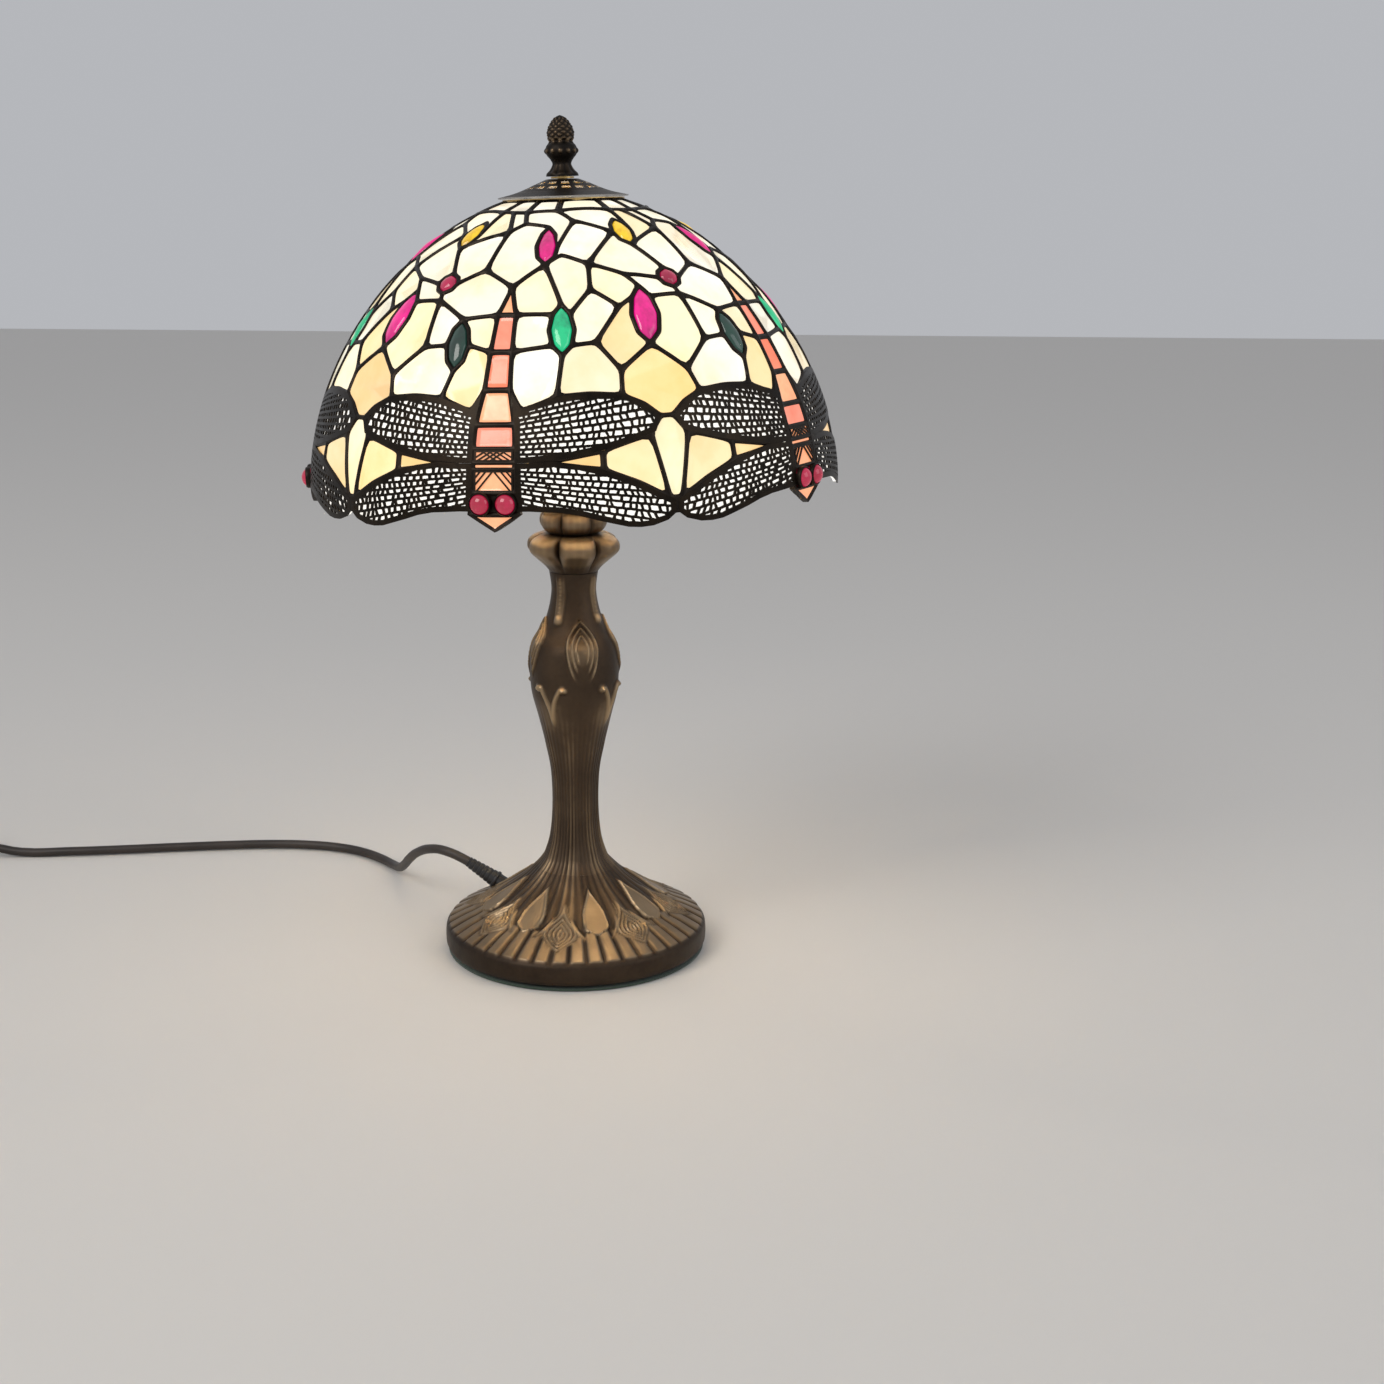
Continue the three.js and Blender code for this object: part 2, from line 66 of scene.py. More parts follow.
def add_camera():
    data = bpy.data.cameras.new("camera")
    data.sensor_width = SENSOR_MM
    data.lens = SENSOR_MM * FOCAL_PIXELS / FRAME_PIXELS
    data.clip_start = 0.01
    camera = bpy.data.objects.new("camera", data)
    aim = Matrix.Rotation(math.radians(90 - LOOK_DOWN), 4, "X") @ Matrix.Rotation(math.radians(ROLL), 4, "Z")
    camera.matrix_world = Matrix.Translation(CAMERA_AT) @ aim
    bpy.context.scene.collection.objects.link(camera)
    bpy.context.scene.camera = camera
    return camera


camera = add_camera()
print("camera lens:", round(camera.data.lens, 1), "mm")

# %% [markdown]
# The cord is one length of round 6 mm flex, 1.8 m long. It leaves the foot at the back left through a
# bush and a tapered relief, arcs down to the table, runs to a switch and is wound into a neat coil of
# two layers beside its plug. One curve carries the whole length, so no joint shows.

# %% Cord
CORD_RADIUS = 3.0
CORD_Z = CORD_RADIUS + 0.4
EXIT = Vector((-52, 31, 29))
EXIT_AIM = Vector((-0.84, 0.18, 0.5)).normalized()
RELIEF_LENGTH = 22
SWITCH_X = -458
SWITCH_Y = 152
SWITCH_HALF = 29
COIL_X = -540
COIL_Y = 107
COIL_MIDDLE = 33.3
COIL_HALF = 8.2
PLUG_X = -635
STEP_DEG = 15
LAYER_TURNS = 2.65
LAYER_RISE = 6.2

lead = [
    (-86, 41, 45), (-97, 50.5, 43), (-107, 64, 36), (-115, 80, 26), (-121, 97, 16), (-127, 114, 8), (-134, 130, 4.2),
    (-144, 144, CORD_Z), (-158, 157, CORD_Z), (-176, 167, CORD_Z), (-200, 173, CORD_Z), (-228, 174, CORD_Z),
    (-258, 171, CORD_Z), (-292, 166, CORD_Z), (-328, 160, CORD_Z), (-364, 155, CORD_Z), (-398, 152.6, CORD_Z),
]
through_switch = [
    (SWITCH_X + SWITCH_HALF + 8, SWITCH_Y, CORD_Z + 4), (SWITCH_X, SWITCH_Y, CORD_Z + 4),
    (SWITCH_X - SWITCH_HALF - 6, SWITCH_Y, CORD_Z + 4), (-503, 151, CORD_Z + 1.5), (-514, 148.5, CORD_Z),
]
tail = [
    (-581.5, 82, 8.5), (-583, 71, 7.5), (-592, 58.5, 6), (-608.5, 53, 5), (-625, 59, 6), (-634, 71, 8),
    (PLUG_X, 80.5, 9), (PLUG_X, 92, 9),
]


def coil_turns():
    """Two flat layers of turns: inwards along the table, then outwards on top of them."""
    start = 72
    total = 2 * LAYER_TURNS * 360
    end = start + 360 * round((start + total - 180) / 360 - start / 360) + 180 - start
    steps = round((end - start) / STEP_DEG)
    points = []
    for k in range(steps + 1):
        share = k / steps
        inwards = min(share, 0.5) * 2
        outwards = max(share - 0.5, 0) * 2
        radius = COIL_MIDDLE + COIL_HALF * (1 - 2 * inwards + 2 * outwards)
        rise = min(max((share - 0.47) / 0.06, 0), 1)
        angle = math.radians(start + (end - start) * share)
        height = CORD_Z + LAYER_RISE * rise * rise * (3 - 2 * rise)
        points.append((COIL_X + radius * math.cos(angle), COIL_Y + radius * math.sin(angle), height))
    return points


def add_cord():
    route = [EXIT, EXIT + EXIT_AIM * 11, EXIT + EXIT_AIM * RELIEF_LENGTH]
    route += [Vector(p) for p in lead + through_switch + coil_turns() + tail]
    curve = bpy.data.curves.new("power_cord", "CURVE")
    curve.dimensions = "3D"
    curve.bevel_depth = 1
    curve.bevel_resolution = 4
    curve.resolution_u = 4
    curve.use_fill_caps = True
    spline = curve.splines.new("BEZIER")
    spline.bezier_points.add(len(route) - 1)
    for point, place in zip(spline.bezier_points, route):
        point.co = place * MM
        point.radius = CORD_RADIUS * MM
        point.handle_left_type = "AUTO"
        point.handle_right_type = "AUTO"
    cord = bpy.data.objects.new("power_cord", curve)
    bpy.context.scene.collection.objects.link(cord)
    length = sum((a - b).length for a, b in zip(route, route[1:]))
    print("cord:", round(length), "mm through", len(route), "points")
    return cord


power_cord = add_cord()
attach(power_cord, "root")
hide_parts("cord_lead", "cord_link", "cord_coil", "cord_tail")

# %% [markdown]
# Every finish is a node material. A small class wraps a node socket, so that shader maths can be written
# as ordinary Python: adding or multiplying two sockets adds the Math node that does it.

# %% Shader maths
class Socket:
    """One output of a material's node, which does maths with other outputs and with numbers."""

    def __init__(self, finish, link):
        self.finish = finish
        self.link = link

    def math(self, operation, *others, first=None):
        start = self if first is None else first
        return self.finish.node("ShaderNodeMath", {"operation": operation}, dict(enumerate((start, *others))))

    def __add__(self, other):
        return self.math("ADD", other)

    __radd__ = __add__

    def __mul__(self, other):
        return self.math("MULTIPLY", other)

    __rmul__ = __mul__

    def __sub__(self, other):
        return self.math("SUBTRACT", other)

    def __rsub__(self, other):
        return self.math("SUBTRACT", self, first=other)

    def __pow__(self, other):
        return self.math("POWER", other)

    def between(self, low, high):
        """0 below low, 1 above high, and a straight slope from one to the other."""
        settings = {"clamp": True}
        return self.finish.node("ShaderNodeMapRange", settings, {"Value": self, "From Min": low, "From Max": high})


class Finish:
    """A material that is built one node at a time."""

    def __init__(self, name):
        self.material = bpy.data.materials.new(name)
        self.material.use_nodes = True
        self.tree = self.material.node_tree
        self.tree.nodes.clear()

    def node(self, kind, settings=None, sockets=None, out=0):
        made = self.tree.nodes.new(kind)
        for name, value in (settings or {}).items():
            if name == "stops":
                self.set_stops(made.color_ramp, value)
            else:
                setattr(made, name, value)
        for name, value in (sockets or {}).items():
            if isinstance(value, Socket):
                self.tree.links.new(value.link, made.inputs[name])
            else:
                made.inputs[name].default_value = value
        return Socket(self, made.outputs[out])

    def set_stops(self, ramp, stops):
        while len(ramp.elements) < len(stops):
            ramp.elements.new(0.5)
        for element, (place, colour) in zip(ramp.elements, stops):
            element.position = place
            element.color = (*colour, 1)

    def place(self):
        return self.node("ShaderNodeTexCoord", out=3)

    def attribute(self, name, out=0):
        return self.node("ShaderNodeAttribute", {"attribute_name": name}, out=out)

    def noise(self, scale, detail=3, where=None, stretch=None):
        where = where or self.place()
        if stretch:
            where = self.node("ShaderNodeMapping", {}, {"Vector": where, "Scale": stretch})
        return self.node("ShaderNodeTexNoise", {}, {"Vector": where, "Scale": scale, "Detail": detail})

    def cells(self, scale):
        return self.node("ShaderNodeTexVoronoi", {}, {"Vector": self.place(), "Scale": scale})

    def mix(self, share, low, high, blend="MIX"):
        settings = {"data_type": "RGBA", "blend_type": blend}
        low = low if isinstance(low, Socket) else (*low, 1)
        high = high if isinstance(high, Socket) else (*high, 1)
        return self.node("ShaderNodeMix", settings, {0: share, 6: low, 7: high}, out=2)

    def bump(self, height, strength, distance=0.0005):
        return self.node("ShaderNodeBump", {}, {"Height": height, "Strength": strength, "Distance": distance})

    def surface(self, **sockets):
        names = {key.replace("_", " "): value for key, value in sockets.items()}
        shader = self.node("ShaderNodeBsdfPrincipled", {}, names)
        self.node_output(shader)
        return self.material

    def node_output(self, shader):
        end = self.tree.nodes.new("ShaderNodeOutputMaterial")
        self.tree.links.new(shader.link, end.inputs["Surface"])


print("shader helpers ready")

# %% [markdown]
# The castings are bronze with an old brown patina. It is darkest in the hollows and rubbed back to warm
# metal on the high parts, so each casting carries a "relief" value, 0 in a hollow and 1 on a ridge.

# %% Metal finishes
def make_bronze(name, dark, warm, bright, rough=0.3):
    finish = Finish(name)
    relief = finish.attribute("relief", out=2)
    patches = finish.noise(38, 5)
    grain = finish.noise(420, 3)
    worn = (relief * 0.85 + patches * 0.45 - 0.18 + grain * 0.12).between(0.15, 0.95)
    colour = finish.mix(worn, dark, warm)
    colour = finish.mix((relief + patches * 0.6 - 0.45).between(0.35, 0.95), colour, bright)
    roughness = rough + 0.22 * (1 - worn) + (grain - 0.5) * 0.14
    bump = finish.bump(patches * 0.4 + grain * 0.6, 0.35, 0.0004)
    return finish.surface(Base_Color=colour, Metallic=0.82, Roughness=roughness, Normal=bump)


def make_metal(name, dark, bright, rough, scale=160, metallic=1.0):
    finish = Finish(name)
    patches = finish.noise(scale * 0.3, 4)
    grain = finish.noise(scale * 4, 2)
    colour = finish.mix((patches * 0.7 + grain * 0.3).between(0.3, 0.7), dark, bright)
    roughness = rough + (patches - 0.5) * 0.22 + (grain - 0.5) * 0.08
    bump = finish.bump(grain, 0.2, 0.0002)
    return finish.surface(Base_Color=colour, Metallic=metallic, Roughness=roughness, Normal=bump)


BRONZE = make_bronze("aged_bronze", (0.020, 0.013, 0.009), (0.15, 0.10, 0.06), (0.40, 0.29, 0.17))
CAP_BRONZE = make_bronze("dark_bronze", (0.012, 0.009, 0.007), (0.075, 0.05, 0.03), (0.24, 0.165, 0.095))
SOLDER = make_metal("patinated_solder", (0.007, 0.005, 0.004), (0.035, 0.024, 0.016), 0.42, 220, 0.8)
BRASS = make_metal("brass", (0.45, 0.29, 0.10), (0.66, 0.46, 0.19), 0.3)
STEEL = make_metal("steel", (0.35, 0.34, 0.33), (0.55, 0.54, 0.53), 0.34)
IRON = make_metal("cast_iron", (0.05, 0.048, 0.046), (0.13, 0.12, 0.11), 0.7, 90, 0.7)
FILIGREE = make_metal("filigree_brass", (0.006, 0.005, 0.004), (0.032, 0.021, 0.012), 0.4, 260, 0.85)
print("metals:", len(bpy.data.materials))

# %% [markdown]
# Opal glass is white glass with colour stirred through it in wisps. Lit from inside it glows evenly, so
# it is given light of its own, tinted pane by pane through the "tint" attribute and broken up by wisps.

# %% Glass finishes
GLASS_LIGHT = 0.86


def make_glass(name, light, wisp=(0.97, 0.76, 0.46), depth=0.55, stretch=(1, 1, 1), scale=26, rough=0.2, dark=0.45):
    finish = Finish(name)
    tint = finish.attribute("tint")
    clouds = finish.noise(scale, 5, stretch=stretch)
    fine = finish.noise(scale * 5, 3, stretch=stretch)
    streak = (clouds * 0.75 + fine * 0.25).between(0.42, 0.66)
    lit = finish.mix(streak * depth, tint, wisp, "MULTIPLY")
    body = finish.mix(dark, lit, (0.05, 0.045, 0.04))
    bump = finish.bump(clouds * 0.7 + fine * 0.3, 0.35, 0.0008)
    return finish.surface(
        Base_Color=body, Roughness=rough + (fine - 0.5) * 0.1, Coat_Weight=0.4, Coat_Roughness=0.12,
        Emission_Color=lit, Emission_Strength=light, Normal=bump,
    )


OPAL = make_glass("opal_glass", GLASS_LIGHT)
# The wing glass, the jewels, the coral bodies and the ruby eyes are given light of their own the same way, standing in
# for the bulb's light coming through them.
WING_GLASS = make_glass("wing_glass", GLASS_LIGHT * 1.15, depth=0.1)
JEWEL = make_glass("jewel_glass", 1.15, (0.4, 0.3, 0.4), 0.8, (1, 1, 0.3), 110, 0.08, 0.6)
CORAL = make_glass("coral_glass", 0.85, wisp=(1, 0.6, 0.5), depth=0.6, scale=60)
RUBY = make_glass("ruby_cabochon", 0.75, (0.5, 0.1, 0.2), 0.7, (1, 1, 1), 90, 0.06, 0.6)
print("glass strength:", GLASS_LIGHT)

# %% [markdown]
# The remaining finishes are plain working ones: felt, rubbery flex, moulded plastic, glazed porcelain
# and the frosted glass of the bulb.

# %% Plain finishes
def make_plastic(name, colour, rough):
    finish = Finish(name)
    grain = finish.noise(900, 2)
    smears = finish.noise(45, 3)
    shade = finish.mix(smears.between(0.35, 0.7), colour, tuple(c * 1.7 + 0.004 for c in colour))
    bump = finish.bump(grain, 0.25, 0.0001)
    return finish.surface(Base_Color=shade, Roughness=rough + (smears - 0.5) * 0.2, Normal=bump)


def make_felt():
    finish = Finish("felt")
    fibre = finish.noise(1400, 4, stretch=(1, 1, 0.3))
    patch = finish.noise(60, 3)
    colour = finish.mix(fibre * 0.6 + patch * 0.4, (0.008, 0.02, 0.012), (0.05, 0.085, 0.055))
    return finish.surface(Base_Color=colour, Roughness=0.95, Sheen_Weight=0.4, Normal=finish.bump(fibre, 0.8))


def make_bulb_glass():
    finish = Finish("bulb_glass")
    frost = finish.noise(500, 2)
    colour = finish.mix(frost, (1.0, 0.86, 0.62), (1.0, 0.92, 0.74))
    return finish.surface(
        Base_Color=(0.9, 0.88, 0.84, 1), Roughness=0.35 + (frost - 0.5) * 0.2, Emission_Color=colour,
        Emission_Strength=6.0,
    )


PLASTIC = make_plastic("black_plastic", (0.012, 0.012, 0.013), 0.38)
SHEATH = make_plastic("cord_sheath", (0.02, 0.014, 0.011), 0.48)
PORCELAIN = make_plastic("ceramic", (0.62, 0.60, 0.55), 0.2)
FELT = make_felt()
BULB_GLASS = make_bulb_glass()
power_cord.data.materials.append(SHEATH)
print("finishes:", len(bpy.data.materials))

# %% [markdown]
# The shade and everything that turns with it leans 2.2 degrees to the left, as it sits on its harp. The
# pieces are modelled upright and leaned at the very end. One helper turns a bmesh into a finished piece.

# %% Helpers for pieces
LEAN = Matrix.Translation((0, 0, 0.34)) @ Matrix.Rotation(math.radians(-2.2), 4, "Y") @ Matrix.Translation((0, 0, -0.34))


def finish_piece(bm, name, body, materials, replaces=(), lean=False, sharp=38, outward=True):
    """Scales a bmesh from millimetres, leans it if asked, and makes it a piece on a body."""
    bmesh.ops.remove_doubles(bm, verts=bm.verts, dist=0.002)
    if outward:
        bmesh.ops.recalc_face_normals(bm, faces=bm.faces)
    bmesh.ops.scale(bm, vec=(MM, MM, MM), verts=bm.verts)
    if lean:
        bmesh.ops.transform(bm, matrix=LEAN, verts=bm.verts)
    mesh = bpy.data.meshes.new(name)
    bm.to_mesh(mesh)
    bm.free()
    for face in mesh.polygons:
        face.use_smooth = True
    mesh.set_sharp_from_angle(angle=math.radians(sharp))
    piece = bpy.data.objects.new(name, mesh)
    for material in materials:
        mesh.materials.append(material)
    bpy.context.scene.collection.objects.link(piece)
    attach(piece, body)
    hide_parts(*replaces)
    return piece


def smooth_profile(points, step):
    """A rounded line through (radius, height) points, with a point about every step millimetres."""
    ends = [points[0], *points, points[-1]]
    line = []
    for before, start, end, after in zip(ends, ends[1:], ends[2:], ends[3:]):
        length = math.dist(start, end)
        count = max(1, round(length / step))
        for k in range(count):
            t = k / count
            line.append([curve_value(before[i], start[i], end[i], after[i], t) for i in (0, 1)])
    line.append(list(points[-1]))
    return line


def curve_value(before, start, end, after, t):
    """A Catmull-Rom curve's value between start and end."""
    first = 2 * start + (end - before) * t
    second = (2 * before - 5 * start + 4 * end - after) * t * t
    third = (3 * start - before - 3 * end + after) * t * t * t
    return 0.5 * (first + second + third)


def add_line(bm, line):
    """An open or closed profile in the XZ plane, ready to spin."""
    verts = [bm.verts.new((max(r, 0), 0, z)) for r, z in line]
    return verts, [bm.edges.new(pair) for pair in zip(verts, verts[1:])]


def turn(bm, line, steps=64, closed=False):
    """Spins a profile once round the Z axis."""
    verts, edges = add_line(bm, line)
    if closed:
        edges.append(bm.edges.new((verts[-1], verts[0])))
    bmesh.ops.spin(bm, geom=verts + edges, axis=(0, 0, 1), cent=(0, 0, 0), steps=steps, angle=math.tau, use_merge=True)
    bmesh.ops.remove_doubles(bm, verts=bm.verts, dist=0.002)
    return bm


def cyclic(angle, count, phase=0.0):
    """How far a bearing is from the nearest of count evenly spaced ones, in degrees."""
    pitch = 360 / count
    return (angle - phase + pitch / 2) % pitch - pitch / 2


def bearing_of(v):
    return math.degrees(math.atan2(v.x, -v.y))


def hump(x, width):
    """A rounded hump, 1 in the middle and 0 beyond width on either side."""
    x = abs(x) / width
    return 0.0 if x >= 1 else (1 - x * x) ** 2


def ease(x, low, high):
    """Rises smoothly from 0 at low to 1 at high."""
    x = min(max((x - low) / (high - low), 0), 1)
    return x * x * (3 - 2 * x)


print("piece helpers ready")

# %% [markdown]
# The foot is a round bronze casting: a plain rim, a flange of 45 convex ribs with rounded ends, eight
# pointed lily leaves over the ribs and eight smooth petals between them, all flowing up into the stem. It
# is spun from a profile, and then its relief is raised by moving vertices along the surface's normal.

# %% Foot casting
LILIES = 8
RIBS = 45
FIRST_LILY = -6.0
STRANDS = 44
FOOT_LINE = [
    (79.2, 3.6), (80.1, 5.4), (80.3, 10), (80.0, 14.2), (79.2, 15.9), (77.4, 16.8), (74, 18.6), (68, 21.6), (60, 25.2),
    (50, 31.2), (40, 38), (31, 44.4), (23.6, 51.6),
]
FOOT_INSIDE = [(20.0, 49.5), (28, 40.6), (38, 34), (50, 27), (62, 20), (70, 15), (74.8, 10), (75.6, 3.6)]


def strands(bearing):
    """Fine parallel ridges, like roots, that run from the foot up the stem."""
    fine = abs(math.cos(math.radians(bearing * STRANDS / 2)))
    broad = 0.5 + 0.5 * math.cos(math.radians((bearing - FIRST_LILY) * LILIES))
    return 0.75 * fine ** 1.3 * (0.45 + 0.55 * broad) + 0.35 * broad


def lily_shape(across, r):
    """A pointed leaf ringed by nested ridges, its tip over the ribs and its root up the foot."""
    wide = 12.0 * ease(r, 42, 58) * (1 - ease(r, 58, 73)) ** 0.8 + 3.0 * (1 - ease(r, 40, 56))
    inside = wide - abs(across)
    if wide < 0.3 or inside < 0:
        return 0.0
    nested = 0.5 + 0.5 * math.cos(math.tau * inside / 2.7)
    return ease(inside, 0, 0.8) * (0.9 + 0.95 * nested) * ease(r, 34, 44)


def side_leaf(across, r):
    """The curled leaflets that spring from each side of a lily and hook back over the ribs."""
    along = (r - 46) / 16
    if not 0 < along < 1:
        return 0.0
    centre = 5 + 11.5 * along ** 1.6
    return 2.0 * hump(abs(across) - centre, 2.2) * math.sin(math.pi * along) ** 0.5


def petal_shape(across, r):
    """A smooth spoon-shaped petal between two lilies, pointed at its top."""
    half = 8.2 * ease(r, 25, 50) * (1 - ease(r, 54, 60.5))
    if half < 0.4:
        return 0.0
    inside = half - abs(across)
    return 1.5 * ease(inside, 0, 1.4) + 0.6 * hump(inside - 1.2, 1.2)


def foot_relief(bearing, r):
    """Height of the foot's relief above its spun surface."""
    across = math.radians(cyclic(bearing, LILIES, FIRST_LILY)) * r
    petal_across = math.radians(cyclic(bearing, LILIES, FIRST_LILY + 180 / LILIES)) * r
    slat = abs(math.sin(math.radians(bearing * RIBS / 2)))
    rib_zone = ease(r, 54, 58) * (1 - ease(r, 77.2, 79.0))
    ribs = (1.9 * min(slat * 1.5, 1) ** 0.6 - 0.5) * rib_zone
    roots = strands(bearing) * (1 - ease(r, 50, 56))
    motif = max(lily_shape(across, r), side_leaf(across, r), petal_shape(petal_across, r))
    return max(ribs, 0) * (1 - min(motif * 1.2, 1)) + max(roots, motif) if motif > 0.05 else max(ribs, 0) + roots


def add_relief(bm, rule, low, high):
    """Raises each vertex along its normal by rule(vertex) and keeps the height as the relief value."""
    layer = bm.verts.layers.float.new("relief")
    bm.normal_update()
    moves = [(v, v.normal.copy(), rule(v)) for v in bm.verts]
    for v, normal, height in moves:
        v[layer] = min(max((height - low) / (high - low), 0), 1)
        v.co += normal * height


def add_foot():
    bm = bmesh.new()
    turn(bm, smooth_profile(FOOT_LINE, 0.85), 432)
    bmesh.ops.recalc_face_normals(bm, faces=bm.faces)
    if sum(f.normal.z for f in bm.faces) < 0:
        bmesh.ops.reverse_faces(bm, faces=bm.faces)

    def rule(v):
        r = math.hypot(v.co.x, v.co.y)
        if v.co.z < 15.5:
            return 0.0
        return foot_relief(bearing_of(v.co), r) * ease(v.co.z, 15.5, 17.0)

    add_relief(bm, rule, -0.5, 2.0)
    inside = bmesh.new()
    turn(inside, smooth_profile(FOOT_INSIDE, 4), 96)
    join(bm, inside)
    loops = [e for e in bm.edges if e.is_boundary]
    bmesh.ops.bridge_loops(bm, edges=[e for e in loops if e.verts[0].co.z > 30])
    bmesh.ops.bridge_loops(bm, edges=[e for e in loops if e.verts[0].co.z < 30])
    return finish_piece(bm, "foot", "root", [BRONZE], ["foot_casting"])


def join(bm, other):
    """Copies another bmesh into this one and frees it."""
    spare = bpy.data.meshes.new("spare")
    other.to_mesh(spare)
    other.free()
    bm.from_mesh(spare)
    bpy.data.meshes.remove(spare)


foot = add_foot()
print("foot:", len(foot.data.polygons), "faces")

# %% [markdown]
# The column is cast in one with its ornament: a stem of fine roots, four pairs of curling leaf tips, a
# bulge with four nested buds, and beaded drips down its neck. It is a spun profile with its relief raised by a rule of
# bearing and height, which is how the repeating ornament of a casting is most simply written down.

# %% Column
LOBES = 6
FIRST_SEAM = -20.0
MOTIFS = 4
FIRST_DRIP = -30.0
COLUMN_LINE = [
    (23.55, 51.62), (20.4, 55.4), (17.9, 60), (14.6, 72), (13.4, 90), (14.2, 112), (17.4, 129), (21.4, 146), (25.6, 162),
    (26.6, 176), (24.6, 190), (19.4, 200), (15.2, 212), (13.3, 224), (14.5, 235),
]
COLUMN_INSIDE = [(10.5, 235), (9.6, 224), (11, 212), (15, 200), (20, 190), (21.8, 176), (20.8, 162), (13, 129), (9.2, 105), (9.2, 72), (15.5, 52)]


def bud(across, z, middle, tall, half, line):
    """The raised outline of a bud, pointed at its top and open at its foot."""
    share = (z - middle) / tall
    if not -1.4 < share < 1:
        return 0.0
    edge = half * max(1 - abs(share) ** 1.7, 0) if share > 0 else half * (1 - 0.35 * share * share)
    return hump(abs(across) - edge, line) * ease(share, -1.4, -0.8)


def curled_tips(across, z):
    """Two leaf tips that part from one stalk and curl outwards."""
    share = (z - 140) / 29
    ridge = 0.0
    if 0 < share < 1:
        ridge = 2.0 * hump(abs(across) - 7.5 * share ** 3, 2.8) * ease(share, 0, 0.35)
    return max(ridge, 2.6 * hump(math.hypot(abs(across) - 8.4, (z - 167.6) * 1.3), 3.9))


def column_relief(bearing, z, r):
    motif = math.radians(cyclic(bearing, MOTIFS, FIRST_DRIP)) * r
    middle = math.radians(cyclic(bearing, MOTIFS, FIRST_DRIP + 45)) * r
    height = strands(bearing) * (1 - ease(z, 120, 166)) * (1 - 0.35 * ease(z, 70, 100))
    height += 0.6 * (1 - ease(z, 158, 172)) * ease(z, 130, 150) * (0.4 + 0.6 * hump(motif, 12))
    height = max(height, curled_tips(motif, z))
    for tall, half in ((15.5, 9.0), (11.6, 6.3), (7.6, 3.7)):
        height = max(height, 1.6 * bud(middle, z, 192, tall, half, 1.35))
    height = max(height, 0.9 * (1 - ease(abs(middle), 8, 9.5)) * hump(z - 190, 15))
    drip = (1 - ease(abs(motif), 2.4, 3.6)) * ease(z, 204, 206.5) * (1 - ease(z, 230, 235))
    height += 0.9 * drip + 1.3 * hump(math.hypot(motif, (z - 207.5) * 0.8), 3.2)
    for k in range(9):
        height += 0.55 * hump(math.hypot(motif, z - 212 - 2.5 * k), 1.3)
    return height


def add_column():
    bm = bmesh.new()
    turn(bm, smooth_profile(COLUMN_LINE, 0.95), 264)
    bmesh.ops.recalc_face_normals(bm, faces=bm.faces)
    if sum((f.calc_center_median() * Vector((1, 1, 0)).length).dot(f.normal) for f in list(bm.faces)[:50]) < 0:
        bmesh.ops.reverse_faces(bm, faces=bm.faces)

    def rule(v):
        z = v.co.z
        return column_relief(bearing_of(v.co), z, math.hypot(v.co.x, v.co.y)) * (1 - ease(z, 233, 235))

    add_relief(bm, rule, -0.9, 2.0)
    inside = bmesh.new()
    turn(inside, smooth_profile(COLUMN_INSIDE, 6), 48)
    join(bm, inside)
    loops = [e for e in bm.edges if e.is_boundary]
    bmesh.ops.bridge_loops(bm, edges=[e for e in loops if e.verts[0].co.z > 150])
    bmesh.ops.bridge_loops(bm, edges=[e for e in loops if e.verts[0].co.z < 150])
    return finish_piece(bm, "column", "root", [BRONZE], ["stem_casting"])


column = add_column()
print("column:", len(column.data.polygons), "faces")

# %% [markdown]
# Above the neck sit two lobed cups, a wide one with six pillow-like lobes and a smaller one that holds
# the lamp holder. Each is spun, and its lobes are drawn in at the six seams.

# %% Lobed collar and top cup
COLLAR_LINE = [(14.6, 235.3), (17.4, 238.6), (22, 242.6), (27.2, 247.2), (28.2, 250.2), (27.4, 253.6), (24.4, 256), (20.3, 257.6)]
CUP_LINE = [(14.3, 257.9), (17.6, 259.8), (20, 263.2), (20.3, 266.6), (19.0, 269.8), (15.9, 271.8)]


def add_lobed(name, line, bore, dip, node):
    bm = bmesh.new()
    outline = [(bore, line[0][1])] + [tuple(p) for p in smooth_profile(line, 0.8)] + [(bore, line[-1][1])]
    turn(bm, outline, 192, closed=True)
    layer = bm.verts.layers.float.new("relief")
    widest = max(r for r, z in line)
    for v in bm.verts:
        r = math.hypot(v.co.x, v.co.y)
        seam = abs(cyclic(bearing_of(v.co), LOBES, FIRST_SEAM)) / 30
        beyond = max(r - line[0][0] + 1.5, 0)
        lobe = math.sqrt(max(1 - (1 - seam) ** 3.2, 0))
        share = 1 - dip * beyond / widest * (1 - lobe)
        veins = 0.003 * abs(math.cos(math.radians(bearing_of(v.co) * 18))) * min(beyond / 5, 1)
        v.co.x *= share - veins
        v.co.y *= share - veins
        v[layer] = min(0.25 + 0.55 * lobe * min(beyond / 8, 1) - veins * 18, 1)
    return finish_piece(bm, name, "root", [BRONZE], [node])


collar = add_lobed("collar", COLLAR_LINE, 5.4, 0.62, "lobed_collar")
cup = add_lobed("cup", CUP_LINE, 5.4, 0.5, "top_cup")
print("collar and cup made")

# %% [markdown]
# The cap is a shallow bronze cone on top of the glass. It is pierced by two rings of small slots that let
# the heat out, and they glow because the bulb is right below.

# %% Vented cap
CAP_TOP = [(37.0, 450.1), (33, 450.9), (27, 452.4), (21, 454.6), (15, 457.2), (10.4, 459.0), (9.0, 459.5), (3.3, 459.6)]
SLOT_RINGS = [(14.4, 12, 1.5), (20.2, 16, 1.5)]
CAP_STEPS = 192


